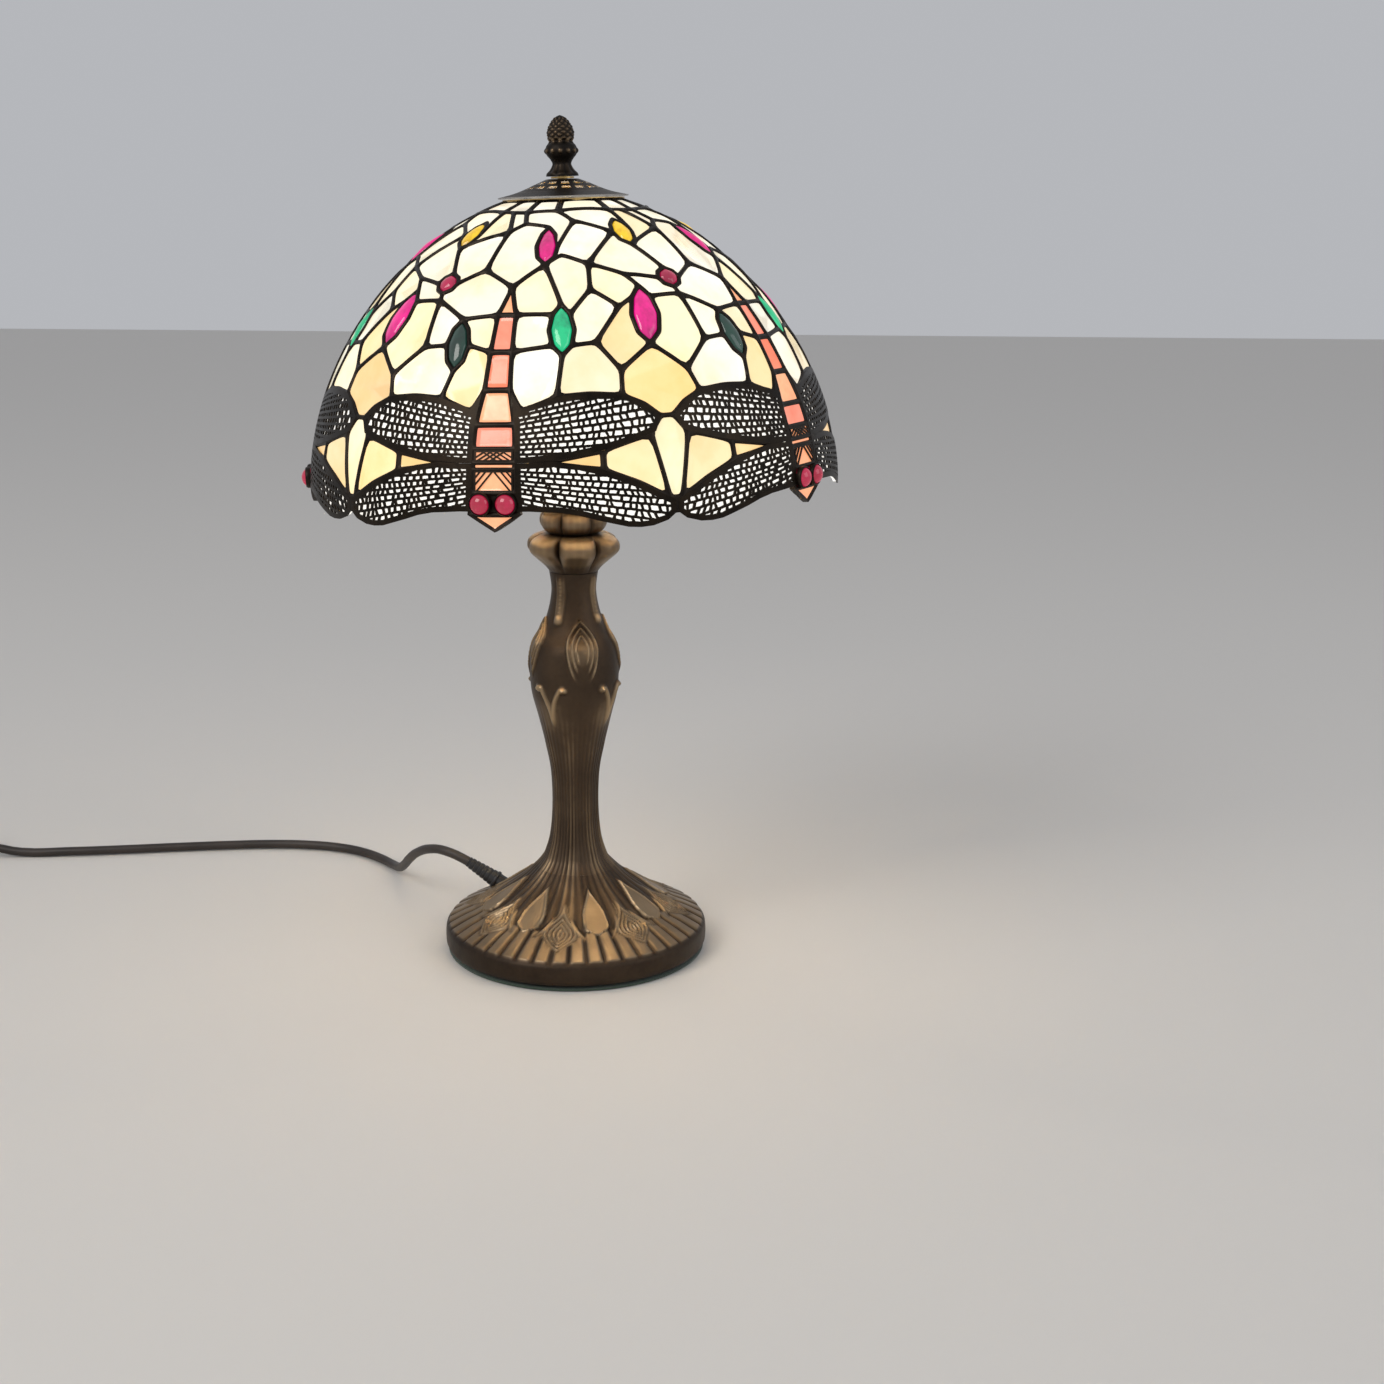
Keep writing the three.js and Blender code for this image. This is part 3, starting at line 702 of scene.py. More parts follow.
def in_slot(x, y):
    r = math.hypot(x, y)
    bearing = math.degrees(math.atan2(x, -y))
    for ring, count, half in SLOT_RINGS:
        across = abs(cyclic(bearing, count, 9)) * ring / 57.3
        if abs(r - ring) < half and across < ring * math.pi / count * 0.62:
            return True
    return False


def add_cap():
    bm = bmesh.new()
    turn(bm, smooth_profile(CAP_TOP, 0.62), CAP_STEPS)
    bmesh.ops.recalc_face_normals(bm, faces=bm.faces)
    if sum(f.normal.z for f in bm.faces) < 0:
        bmesh.ops.reverse_faces(bm, faces=bm.faces)
    holes = [f for f in bm.faces if in_slot(*f.calc_center_median().xy)]
    bmesh.ops.delete(bm, geom=holes, context="FACES")
    relief = bm.verts.layers.float.new("relief")
    for v in bm.verts:
        r = math.hypot(v.co.x, v.co.y)
        v[relief] = 0.25 + 0.6 * hump(r - 36.6, 1.6) + 0.5 * hump(r - 10, 1.6) + 0.2 * hump(r - 26, 1.2)
    above = set(bm.faces)
    bmesh.ops.solidify(bm, geom=list(bm.faces), thickness=0.75)
    for face in bm.faces:
        face.material_index = 0 if face in above else 1
    return finish_piece(bm, "vented_cap", "shade", [CAP_BRONZE, STEEL], ["vase_cap"], lean=True, sharp=50)


cap = add_cap()
print("cap:", len(cap.data.polygons), "faces")

# %% [markdown]
# The finial is a small turned and cast knob: a cone like a pine cone over a ring of leaf points, a
# beaded ball, a waist and a flared foot. It screws onto the harp's stud.

# %% Finial
FINIAL_LINE = [
    (9.2, 461.1), (8.8, 462.2), (6.6, 464.4), (5.2, 467.4), (6.4, 470.2), (8.3, 472.6), (8.9, 475), (8.2, 477.8), (5.9, 479.9),
    (6.6, 481.6), (7.2, 483.6), (6.9, 486), (5.7, 488.8), (3.6, 491.6), (1.4, 493.6), (0, 494.2),
]
FINIAL_BORE = [(0, 477.2), (2.9, 476.8), (3.0, 461.1)]


def finial_relief(bearing, z):
    cone = ease(z, 480.5, 482) * (1 - ease(z, 492, 494))
    spiral = math.sin(math.radians(bearing * 5 + z * 62)) * math.sin(math.radians(bearing * 5 - z * 62))
    height = 0.75 * abs(spiral) ** 0.7 * cone
    beads = hump(math.hypot(cyclic(bearing, 12) * 8.8 / 57.3, z - 474.8), 2.0)
    leaves = hump(cyclic(bearing, 9) * 7 / 57.3, 2.2) * hump(z - 480.4, 2.2)
    petals = abs(math.cos(math.radians(bearing * 5))) * (1 - ease(z, 466, 469))
    return height + 0.9 * beads + 1.1 * leaves + 0.45 * petals * ease(z, 461.5, 462.5)


def add_finial():
    bm = bmesh.new()
    turn(bm, smooth_profile(FINIAL_LINE, 0.45), 144)
    bmesh.ops.recalc_face_normals(bm, faces=bm.faces)
    add_relief(bm, lambda v: finial_relief(bearing_of(v.co), v.co.z), 0.0, 1.0)
    bore = bmesh.new()
    turn(bore, FINIAL_BORE, 48)
    join(bm, bore)
    bmesh.ops.bridge_loops(bm, edges=[e for e in bm.edges if e.is_boundary])
    return finish_piece(bm, "finial_knob", "finial", [CAP_BRONZE], ["finial"], lean=True)


finial = add_finial()
print("finial:", len(finial.data.polygons), "faces")

# %% [markdown]
# The harp is one loop of round brass wire that carries the shade over the bulb. It is swept here from a
# ring along the wire's line, mirrored, with its ends in the two ferrules.

# %% Harp
HARP_RADIUS = 2.0
HARP_LINE = [(27, 284), (27, 303), (33, 317), (46, 338), (53, 364), (49, 394), (36, 421), (18, 440), (0, 447)]


def sweep(bm, line, radius, around=14):
    """A round bar along a line in the XZ plane: a ring is set across each point and the rings are bridged."""
    edges = []
    for k, (x, z) in enumerate(line):
        before = line[max(k - 1, 0)]
        after = line[min(k + 1, len(line) - 1)]
        aim = Vector((after[0] - before[0], 0, after[1] - before[1])).normalized()
        place = Matrix.Translation((x, 0, z)) @ aim.to_track_quat("Z", "Y").to_matrix().to_4x4()
        ring = bmesh.ops.create_circle(bm, segments=around, radius=radius, matrix=place)
        edges.append(list({e for v in ring["verts"] for e in v.link_edges}))
    for first, second in zip(edges, edges[1:]):
        bmesh.ops.bridge_loops(bm, edges=first + second)
    bmesh.ops.contextual_create(bm, geom=edges[0])
    bmesh.ops.contextual_create(bm, geom=edges[-1])
    return bm


def add_harp():
    half = smooth_profile(HARP_LINE, 3)
    whole = half + [[-x, z] for x, z in reversed(half[:-1])]
    bm = sweep(bmesh.new(), whole, HARP_RADIUS)
    return finish_piece(bm, "harp_loop", "root", [BRASS], ["harp_wire"], sharp=60)


harp = add_harp()
print("harp:", len(harp.data.polygons), "faces")

# %% [markdown]
# The lamp holder is a brass cap and shell. The shell is spun with the shallow beads that stiffen it,
# and the bulb inside is frosted glass on a threaded cap.

# %% Holder and bulb
SHELL_LINE = [
    (18.9, 298.5), (20.3, 298.5), (20.3, 303), (19.7, 304), (20.3, 305), (20.3, 309), (19.7, 310), (20.3, 311), (20.3, 326),
    (19.8, 327.4), (20.3, 328.8), (20.3, 330.9), (18.9, 330.9),
]
BULB_LINE = [
    (12.4, 331.0), (12.9, 334), (14.0, 339), (17.5, 347), (23.5, 357), (28, 368), (29.4, 380), (27.8, 392), (22.6, 402),
    (14.5, 408.6), (6, 410.6), (0, 410.8),
]


def add_spun(name, body, materials, line, node, closed=True, steps=72, sharp=40):
    bm = bmesh.new()
    turn(bm, line, steps, closed=closed)
    return finish_piece(bm, name, body, materials, [node], sharp=sharp)


def bulb_skin():
    outside = smooth_profile(BULB_LINE, 2.5)
    inside = [[max(r - 0.8, 0), z - (0.8 if z > 405 else 0)] for r, z in reversed(outside)]
    return outside + inside


def thread_line():
    """The bulb cap's rounded screw thread, drawn as a row of rolls."""
    line = [(9.0, 305.2), (12.0, 305.3)]
    for k in range(40):
        line.append((12.55 + 0.5 * math.sin(k * math.tau / 8), 306 + k * 0.46))
    return line + [(12.9, 326), (13.0, 330.2), (9.0, 330.3)]


shell = add_spun("holder_shell_spun", "root", [BRASS], SHELL_LINE, "holder_shell")
bulb = add_spun("bulb_glass", "bulb", [BULB_GLASS], bulb_skin(), "bulb_envelope", closed=False)
bulb_cap = add_spun("bulb_thread", "bulb", [STEEL], thread_line(), "bulb_cap")
print("holder, bulb and cap made")

# %% [markdown]
# The foot stands on a disc of green felt. Its edge is slightly rounded by the shears.

# %% Felt
FELT_LINE = [(0, 0.05), (78.2, 0.05), (78.9, 0.4), (78.9, 1.1), (78.2, 1.5), (0, 1.5)]
felt = add_spun("felt_disc", "root", [FELT], FELT_LINE, "felt_pad", closed=False, steps=96)
print("felt made")

# %% [markdown]
# The cord enters the foot through a rubber relief, tapered and ribbed so that it bends evenly. It is
# spun upright and then turned to the way the cord leaves.

# %% Strain relief
def add_relief_sleeve():
    line = [(CORD_RADIUS + 0.05, 0.2), (5.6, 0.2), (5.8, 1.0), (5.6, 1.9), (5.0, 2.3)]
    for k in range(6):
        place = 3.0 + 3.0 * k
        wide = 5.0 - 0.26 * k
        line += [(wide, place), (wide, place + 1.7), (wide - 0.5, place + 2.0), (wide - 0.5, place + 2.7)]
    line += [(3.5, 21.6), (CORD_RADIUS + 0.05, 21.9)]
    bm = bmesh.new()
    turn(bm, line, 40, closed=True)
    place = Matrix.Translation(EXIT) @ EXIT_AIM.to_track_quat("Z", "Y").to_matrix().to_4x4()
    bmesh.ops.transform(bm, matrix=place, verts=bm.verts)
    return finish_piece(bm, "relief_sleeve", "root", [PLASTIC], ["strain_relief"])


sleeve = add_relief_sleeve()
print("sleeve:", len(sleeve.data.polygons), "faces")

# %% [markdown]
# The switch and the plug are plain mouldings. Each starts as a block whose corners are bevelled, first
# the upright ones widely and then every edge a little, as a mould would leave them.

# %% Moulded blocks
def moulded(bm, low, high, corner, edge):
    """A block between two corners with wide rounded uprights and soft edges."""
    size = [b - a for a, b in zip(low, high)]
    middle = [(a + b) / 2 for a, b in zip(low, high)]
    block = bmesh.ops.create_cube(bm, size=1)["verts"]
    bmesh.ops.scale(bm, vec=size, verts=block)
    bmesh.ops.translate(bm, vec=middle, verts=block)
    edges = {e for v in block for e in v.link_edges}
    upright = [e for e in edges if abs(e.verts[0].co.z - e.verts[1].co.z) > size[2] / 2]
    bmesh.ops.bevel(bm, geom=upright, offset=corner, segments=8, profile=0.5, affect="EDGES", material=-1)
    caps = [f for f in bm.faces if abs(f.normal.z) > 0.9 and low[2] - 0.1 < f.calc_center_median().z < high[2] + 0.1]
    rims = list({e for f in caps for e in f.edges})
    bmesh.ops.bevel(bm, geom=rims, offset=edge, segments=3, profile=0.5, affect="EDGES", material=-1)
    return bm


def node_box(name):
    low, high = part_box(name)
    return [a / MM for a in low], [b / MM for b in high]


def add_moulding(name, node, body, material, corner, edge):
    low, high = node_box(node)
    bm = moulded(bmesh.new(), low, high, corner, edge)
    return finish_piece(bm, name, body, [material], [node])


switch_base = add_moulding("switch_underside", "switch_base", "root", PLASTIC, 9, 1.6)
plug_body = add_moulding("plug_shell", "plug_body", "root", PLASTIC, 8, 3.0)
pins = [
    add_moulding(f"{node}_blade", node, "root", BRASS, 0.6, 0.6)
    for node in ("plug_pin_earth", "plug_pin_left", "plug_pin_right")
]
print("mouldings:", 2 + len(pins))

# %% [markdown]
# The shade's form is a dome a little fuller than a ball. Everything on it is placed by a bearing, in
# degrees from the front, and a height; "lift" is how far it stands off the dome along its normal.

# %% The dome
DOME_FOOT = 290
DOME_RADIUS = 152
DOME_HEIGHT = 163.4
DOME_POWER = 1.82
SECTOR = 72
FRONT_SPINE = -12.5


def dome_radius(z):
    if z < DOME_FOOT:
        return DOME_RADIUS - 0.0035 * (DOME_FOOT - z) ** 2
    share = (z - DOME_FOOT) / DOME_HEIGHT
    return DOME_RADIUS * (1 - share ** DOME_POWER) ** (1 / DOME_POWER)


def settle(v, lift):
    """Moves a point straight towards the dome's middle until it stands at that lift."""
    r = math.hypot(v.x, v.y)
    high = v.z - DOME_FOOT
    out = Vector((v.x / r, v.y / r, 0))
    if high <= 0:
        return out * (dome_radius(v.z) + lift) + Vector((0, 0, v.z))
    size = ((r / DOME_RADIUS) ** DOME_POWER + (high / DOME_HEIGHT) ** DOME_POWER) ** (-1 / DOME_POWER)
    r *= size
    high *= size
    slope_r = (r / DOME_RADIUS) ** (DOME_POWER - 1) / DOME_RADIUS
    slope_z = (high / DOME_HEIGHT) ** (DOME_POWER - 1) / DOME_HEIGHT
    normal = (out * slope_r + Vector((0, 0, slope_z))).normalized()
    return out * r + Vector((0, 0, DOME_FOOT + high)) + normal * lift


def dome_point(bearing, z, lift=0.0):
    angle = math.radians(bearing)
    r = dome_radius(z)
    return settle(Vector((r * math.sin(angle), -r * math.cos(angle), z)), lift)


print("dome radius at the rim:", round(dome_radius(283), 1), "mm")

# %% [markdown]
# A leaded shade is a net of came and solder with a pane of glass in each mesh. Its junctions are given
# once, for the 72 degrees between two dragonflies, as degrees from the left dragonfly's spine and height.
# A name that ends in + or - belongs to the next sector or the one before.

# %% Junctions and jewels
JUNCTIONS = {
    "tip": (0, 404), "r1": (2.4, 390.5), "r2": (2.6, 372.5), "r3": (2.9, 354), "root": (5.5, 343.6),
    "wing1": (13, 350.2), "wing1b": (20, 351.3), "wing2": (27, 349.8), "wing2b": (31.5, 345), "wing3": (34.6, 338.7),
    "wing4": (37.4, 338.7), "wing4b": (40.5, 345), "wing5": (45, 349.8), "wing5b": (52, 351.3), "wing6": (59, 350.2),
    "endroot": (66.5, 343.6), "l3": (69.1, 354), "l2": (69.4, 372.5), "l1": (69.6, 390.5),
    "a": (14.5, 419.5), "b": (23.5, 414.5), "c": (22.8, 402), "g": (30, 393), "h": (22.5, 376), "j": (27.5, 362),
    "q": (34, 409), "k": (43.3, 361), "l": (51, 375), "n": (49.5, 398), "s": (61.3, 412.5), "u": (62.5, 431.5),
    "w": (21, 436.5), "m1": (12, 441.8), "m3": (46.5, 441.8), "m4": (54.5, 441.6), "y": (64.5, 441.3), "y2": (68.6, 435.5),
    "n1": (14, 447.3), "n3": (48, 447.3), "n5": (66, 447.3),
    "low1": (7.2, 318.3), "apex": (13.5, 319.5), "up1": (22, 323.2), "down1": (22, 313.4), "up2": (32, 330.2),
    "down2": (28.8, 306.2), "foot1": (34.7, 297.5), "foot2": (37.3, 297.5), "up3": (40, 330.2), "down3": (43.2, 306.2),
    "up4": (50, 323.2), "down4": (50, 313.4), "apex2": (58.5, 319.5), "low2": (64.8, 318.3),
    "toe1": (35.5, 289.5), "toe2": (36.5, 289.5),
}
JEWELS = {
    "green": (14.4, 382.6, 3.2, 12.6, 0), "ruby": (36.6, 388.6, 3.9, 14.4, 4), "berry": (49, 406.2, 3.9, 5.0, 0),
    "amber": (42.4, 430.2, 4.8, 6.6, 0), "rose": (9.2, 424.2, 4.2, 9.4, 0), "forest": (60.3, 376, 3.1, 12.6, -3),
}


def add_jewel_corners():
    """Eight corners round each jewel, from its top clockwise, in the outline of a pointed almond."""
    for name, (middle, z, half_wide, half_high, slant) in JEWELS.items():
        for k in range(8):
            angle = math.radians(45 * k)
            across = math.sin(angle) * (1 if k % 2 == 0 else 1.02)
            along = math.cos(angle) * (1 if k % 2 == 0 else 0.86)
            lean = math.radians(slant) * along * 3
            JUNCTIONS[f"{name}{k}"] = (middle + half_wide * (across + lean), z + half_high * along)


add_jewel_corners()
print("junctions:", len(JUNCTIONS))

# %% [markdown]
# Each pane is a loop of junctions with the colour of its glass: near white at the top of the shade, and
# warmer cream and amber towards the wings. The whiter panes high up are partly painted light: they stand in for the
# brighter glow close to the bulb, over the glass's own cream and amber.

# %% Panes
# WHITE, set mostly on the upper panes, is partly painted light: it stands in for the brighter glow close to the bulb.
WHITE = (1.0, 0.94, 0.80)
CREAM = (1.0, 0.88, 0.62)
PEACH = (1.0, 0.78, 0.44)
AMBER = (0.97, 0.68, 0.33)
PANES = [
    ("tip rose4 green0 green7 r1", CREAM), ("r1 green7 green6 green5 r2", WHITE),
    ("r2 green5 green4 wing1 root r3", WHITE), ("rose4 a b c green1 green0", WHITE),
    ("green1 c g h green3 green2", WHITE), ("green4 green3 h j wing2 wing1b wing1", CREAM),
    ("h g ruby7 ruby6 ruby5 ruby4 j", PEACH), ("b q ruby0 ruby7 g c", CREAM),
    ("ruby4 k wing5 wing4b wing4 wing3 wing2b wing2 j", AMBER), ("ruby1 n l k ruby4 ruby3 ruby2", CREAM),
    ("q berry6 berry5 berry4 n ruby1 ruby0", WHITE), ("l forest6 forest5 forest4 wing6 wing5b wing5 k", WHITE),
    ("n forest0 forest7 forest6 l", WHITE), ("berry2 s tip+ l1 forest0 n berry4 berry3", WHITE),
    ("forest0 l1 l2 forest2 forest1", CREAM), ("forest2 l2 l3 endroot wing6 forest4 forest3", PEACH),
    ("b amber6 amber5 amber4 berry0 berry7 berry6 q", WHITE), ("amber4 u s berry2 berry1 berry0", WHITE),
    ("rose2 w amber6 b a rose4 rose3", WHITE), ("s- u- y2- rose0 rose7 rose6 rose5 rose4 tip", WHITE),
    ("y- m1 w rose2 rose1 rose0 y2-", WHITE), ("m1 m3 amber2 amber1 amber0 amber7 amber6 w", WHITE),
    ("m3 m4 u amber4 amber3 amber2", CREAM), ("u m4 y y2", WHITE),
    ("m1 n1 n3 m3", WHITE), ("m3 n3 n5 y m4", WHITE), ("y- n5- n1 m1", WHITE),
    ("low1 apex up1 down1", AMBER), ("up1 up2 foot1 down2 down1", PEACH),
    ("up2 wing3 wing4 up3 foot2 foot1", CREAM), ("up3 up4 down4 down3 foot2", PEACH), ("up4 apex2 low2 down4", AMBER),
]
JEWEL_TINTS = {
    "green": (0.0, 0.42, 0.17), "ruby": (0.66, 0.0, 0.20), "berry": (0.33, 0.0, 0.045), "amber": (0.72, 0.46, 0.01),
    "rose": (0.60, 0.0, 0.17), "forest": (0.0, 0.03, 0.02),
}
CAME_HALF = 1.6
CAME_HIGH = 1.1
GLASS_THICK = 2.2
EDGE_CUTS = 5
PANE, LEAD, STONE = 0, 1, 2


def net_face(bm, corners, loop, tint, kind, layer):
    face = bm.faces.new([corners(name) for name in loop])
    face.material_index = kind
    for corner in face.loops:
        corner[layer] = (*tint, 1)
    return face


LONGEST_MITRE = 3.6


def tame_corners(faces, bead, half):
    """Where a pane runs out to a sliver beside a jewel, an even inset overshoots, so that corner is set again."""
    tamed = 0
    for face in (f for f in faces if len(f.verts) > 5):
        pairs = [(v, next(e.other_vert(v) for e in v.link_edges if e.other_vert(v)[bead] > 0.5)) for v in face.verts]
        middle = sum((corner.co for v, corner in pairs), Vector()) / len(pairs)
        for v, corner in pairs:
            if (v.co - corner.co).length > LONGEST_MITRE * half:
                v.co = corner.co + (middle - corner.co).normalized() * 1.6 * half
                tamed += 1
    return tamed


def raise_cames(bm, faces, half=CAME_HALF):
    """Insets each pane, so that a strip of came lies all round it, and rounds the strip's back."""
    bead = bm.verts.layers.float.new("bead")
    for v in bm.verts:
        v[bead] = 1.0
    inset = bmesh.ops.inset_individual(bm, faces=faces, thickness=half, use_even_offset=True)
    for face in faces:
        for v in face.verts:
            v[bead] = 0.0
    for face in inset["faces"]:
        face.material_index = LEAD
    across = [e for e in bm.edges if e.verts[0][bead] != e.verts[1][bead]]
    tamed = tame_corners(faces, bead, half)
    if tamed:
        print("corners tamed:", tamed)
    bmesh.ops.subdivide_edges(bm, edges=across, cuts=1, use_grid_fill=True)
    along = [e for e in bm.edges if abs(e.verts[0][bead] - e.verts[1][bead]) < 0.1]
    bmesh.ops.subdivide_edges(bm, edges=along, cuts=EDGE_CUTS, use_grid_fill=True)
    inner = [v for v in bm.verts if not v.is_boundary]
    for _ in range(2):
        bmesh.ops.smooth_vert(bm, verts=inner, factor=0.5, use_axis_x=True, use_axis_y=True, use_axis_z=True)
    for v in bm.verts:
        uneven = noise.noise(v.co * 0.22) * 0.16
        lift = (math.sqrt(max(v[bead] * (2 - v[bead]), 0)) + uneven * (v[bead] > 0)) * CAME_HIGH
        v.co = settle(v.co, min(lift, 1.15) - 0.05)
    return bead


def raise_stones(bm, stones):
    """Domes each jewel in four steps, like a cabochon."""
    bm.normal_update()
    for share, depth in ((0.93, 0.9), (0.80, 0.7), (0.62, 0.5), (0.5, 0.3)):
        bmesh.ops.inset_individual(bm, faces=stones, thickness=0.02, depth=depth)
        for stone in stones:
            middle = stone.calc_center_median()
            bmesh.ops.scale(bm, vec=(share,) * 3, space=Matrix.Translation(-middle), verts=stone.verts)


def thicken(bm, bead, thick=GLASS_THICK):
    """Gives the net its inner face, with the backs of the cames on it."""
    if sum(f.normal.dot(f.calc_center_median()) for f in list(bm.faces)[:40]) < 0:
        bmesh.ops.reverse_faces(bm, faces=bm.faces)
    outer = set(bm.verts)
    bmesh.ops.solidify(bm, geom=list(bm.faces), thickness=thick)
    for v in bm.verts:
        if v not in outer:
            v.co = settle(v.co, -thick - 0.3 * v[bead])


def mark_edges(bm):
    """The line where glass meets came is crisp."""
    for e in bm.edges:
        kinds = {f.material_index for f in e.link_faces}
        e.smooth = len(kinds) == 1


def add_panel(k):
    bm = bmesh.new()
    tint = bm.loops.layers.float_color.new("tint")
    made = {}

    def corner(name):
        if name not in made:
            step = {"+": 1, "-": -1}.get(name[-1], 0)
            degrees, z = JUNCTIONS[name.rstrip("+-")]
            made[name] = bm.verts.new(dome_point(FRONT_SPINE + SECTOR * (k + step) + degrees, z))
        return made[name]

    shade = random.Random(40 + k)
    panes = []
    for loop, colour in PANES:
        dim = shade.uniform(0.86, 1.0)
        warm = shade.uniform(0.9, 1.0)
        mixed = (colour[0] * dim, colour[1] * dim, colour[2] * dim * warm)
        panes.append(net_face(bm, corner, loop.split(), mixed, PANE, tint))
    stones = [
        net_face(bm, corner, [f"{name}{i}" for i in range(8)], colour, STONE, tint) for name, colour in JEWEL_TINTS.items()
    ]
    plug = net_face(bm, corner, ["foot1", "foot2", "toe2", "toe1"], (0.1, 0.1, 0.1), LEAD, tint)
    bmesh.ops.recalc_face_normals(bm, faces=bm.faces)
    bead = raise_cames(bm, panes + stones)
    raise_stones(bm, stones)
    bm.normal_update()
    thicken(bm, bead)
    mark_edges(bm)
    return finish_piece(
        bm, f"leaded_glass_{k + 1}", "shade", [OPAL, SOLDER, JEWEL], [f"glass_panel_{k + 1}"], lean=True,
        sharp=50,
    )


panels = [add_panel(k) for k in range(5)]
print("panel faces:", [len(p.data.polygons) for p in panels])

# %% [markdown]
# A dragonfly's body is a string of coral panes, made as a small net of its own. Its outline is doubled
# with heavy solder, its bands are openwork, and its nose is a small pointed pane.

# %% Dragonfly bodies
CORAL_PALE = (0.95, 0.44, 0.22)
CORAL_DEEP = (0.88, 0.22, 0.11)
CORAL_PINK = (0.90, 0.27, 0.17)
BODY_ROWS = [
    (404, 0.0, None), (390.5, 2.4, CORAL_PALE), (372.5, 2.6, CORAL_PINK), (354, 2.9, CORAL_DEEP), (337, 4.3, CORAL_PALE),
    (325.2, 4.5, CORAL_PINK), (318.4, 4.5, CORAL_PALE), (315.2, 4.4, CORAL_PALE), (303.2, 4.5, CORAL_PALE),
    (292.4, 5.4, None), (283.4, 0.0, CORAL_PALE),
]


def add_body(k):
    bm = bmesh.new()
    tint = bm.loops.layers.float_color.new("tint")
    spine = FRONT_SPINE + SECTOR * k
    rows = []
    for z, half, colour in BODY_ROWS:
        sides = [bm.verts.new(dome_point(spine + side * half, z)) for side in ((-1, 1) if half else (0,))]
        rows.append((sides, colour))
    faces = []
    for (above, spare), (below, colour) in zip(rows, rows[1:]):
        face = bm.faces.new([*above, *reversed(below)])
        face.material_index = PANE if colour else LEAD
        for corner in face.loops:
            corner[tint] = (*(colour or (0.1, 0.1, 0.1)), 1)
        faces.append(face)
    bmesh.ops.recalc_face_normals(bm, faces=bm.faces)
    bead = raise_cames(bm, faces, 1.15)
    bm.normal_update()
    thicken(bm, bead)
    mark_edges(bm)
    bmesh.ops.recalc_face_normals(bm, faces=bm.faces)
    return bm


# %% [markdown]
# The wings are thin brass plates pierced with rows of small cells, laid over white glass. Each plate is
# an outline cut into fanned rows and the rows into staggered bricks; the bricks are inset, rounded and
# removed, which leaves the filigree standing. It is made flat and then laid on the dome.

# %% Dragonfly wings
ARC = 2.62
UPPER_WING = [
    (4.3, 337), (3.2, 352.6), (5.6, 344.6), (7, 346.2), (13, 350), (17, 351), (21, 351.2), (25, 350.8), (28, 349.5), (31.5, 345), (34.6, 338.5),
    (33, 331), (29, 327.8), (25, 325), (19.5, 322), (14, 319.6), (6.5, 318.2), (4.4, 318.2),
]
LOWER_WING = [
    (4.4, 318.1), (7, 318.1), (12, 318.7), (17, 316.8), (21.5, 313.8), (25.5, 310), (28.5, 306.5), (32, 301.5), (35.7, 296.5),
    (35.8, 290), (34, 286.3), (31, 284), (28.5, 283.6), (26, 284.2), (20, 288.5), (16.5, 291.3), (13, 293), (7, 294), (4.6, 294),
]
ROW_GAP = 3.0
BRICK = 4.1
WEB = 0.72
PLATE_LIFT = 0.15
PLATE_THICK = 0.95
WING_BORDER = 2.2
GLASS_INSET = 0.9


def flat_outline(bm, outline):
    verts = [bm.verts.new((degrees * ARC, z, 0)) for degrees, z in outline]
    face = bm.faces.new(verts)
    bm.normal_update()
    if face.normal.z < 0:
        face.normal_flip()
    bm.normal_update()
    return face


def cut(bm, faces, at, normal):
    """Cuts these faces by an upright plane and returns what they become."""
    geom = set(faces)
    for face in faces:
        geom.update(face.edges)
        geom.update(face.verts)
    result = bmesh.ops.bisect_plane(bm, geom=list(geom), dist=0.01, plane_co=at, plane_no=normal)
    return [g for g in result["geom"] if isinstance(g, bmesh.types.BMFace)]


def pierce(bm, field, hub, chance):
    """Cuts the field into fanned rows of staggered bricks."""
    reach = [(v.co - hub).length for v in field.verts]
    bearings = [math.atan2(v.co.y - hub.y, v.co.x - hub.x) for v in field.verts]
    far = (min(reach) + max(reach)) / 2
    fan = ROW_GAP / far
    faces = [field]
    angle = min(bearings) + fan * 0.9
    while angle < max(bearings) - fan * 0.45:
        faces = cut(bm, faces, hub, Vector((-math.sin(angle), math.cos(angle), 0)))
        angle += fan * chance.uniform(0.88, 1.14)
    bricks = []
    for number, row in enumerate(faces):
        spans = [v.co.x for v in row.verts]
        place = min(spans) + BRICK * (0.55 if number % 2 else 1.0)
        pieces = [row]
        while place < max(spans) - BRICK * 0.4:
            slant = chance.uniform(-0.38, 0.38)
            pieces = cut(bm, pieces, Vector((place, 0, 0)) + Vector((0, row.calc_center_median().y, 0)), Vector((1, slant, 0)))
            place += BRICK * chance.uniform(0.62, 1.38)
        bricks += pieces
    return bricks


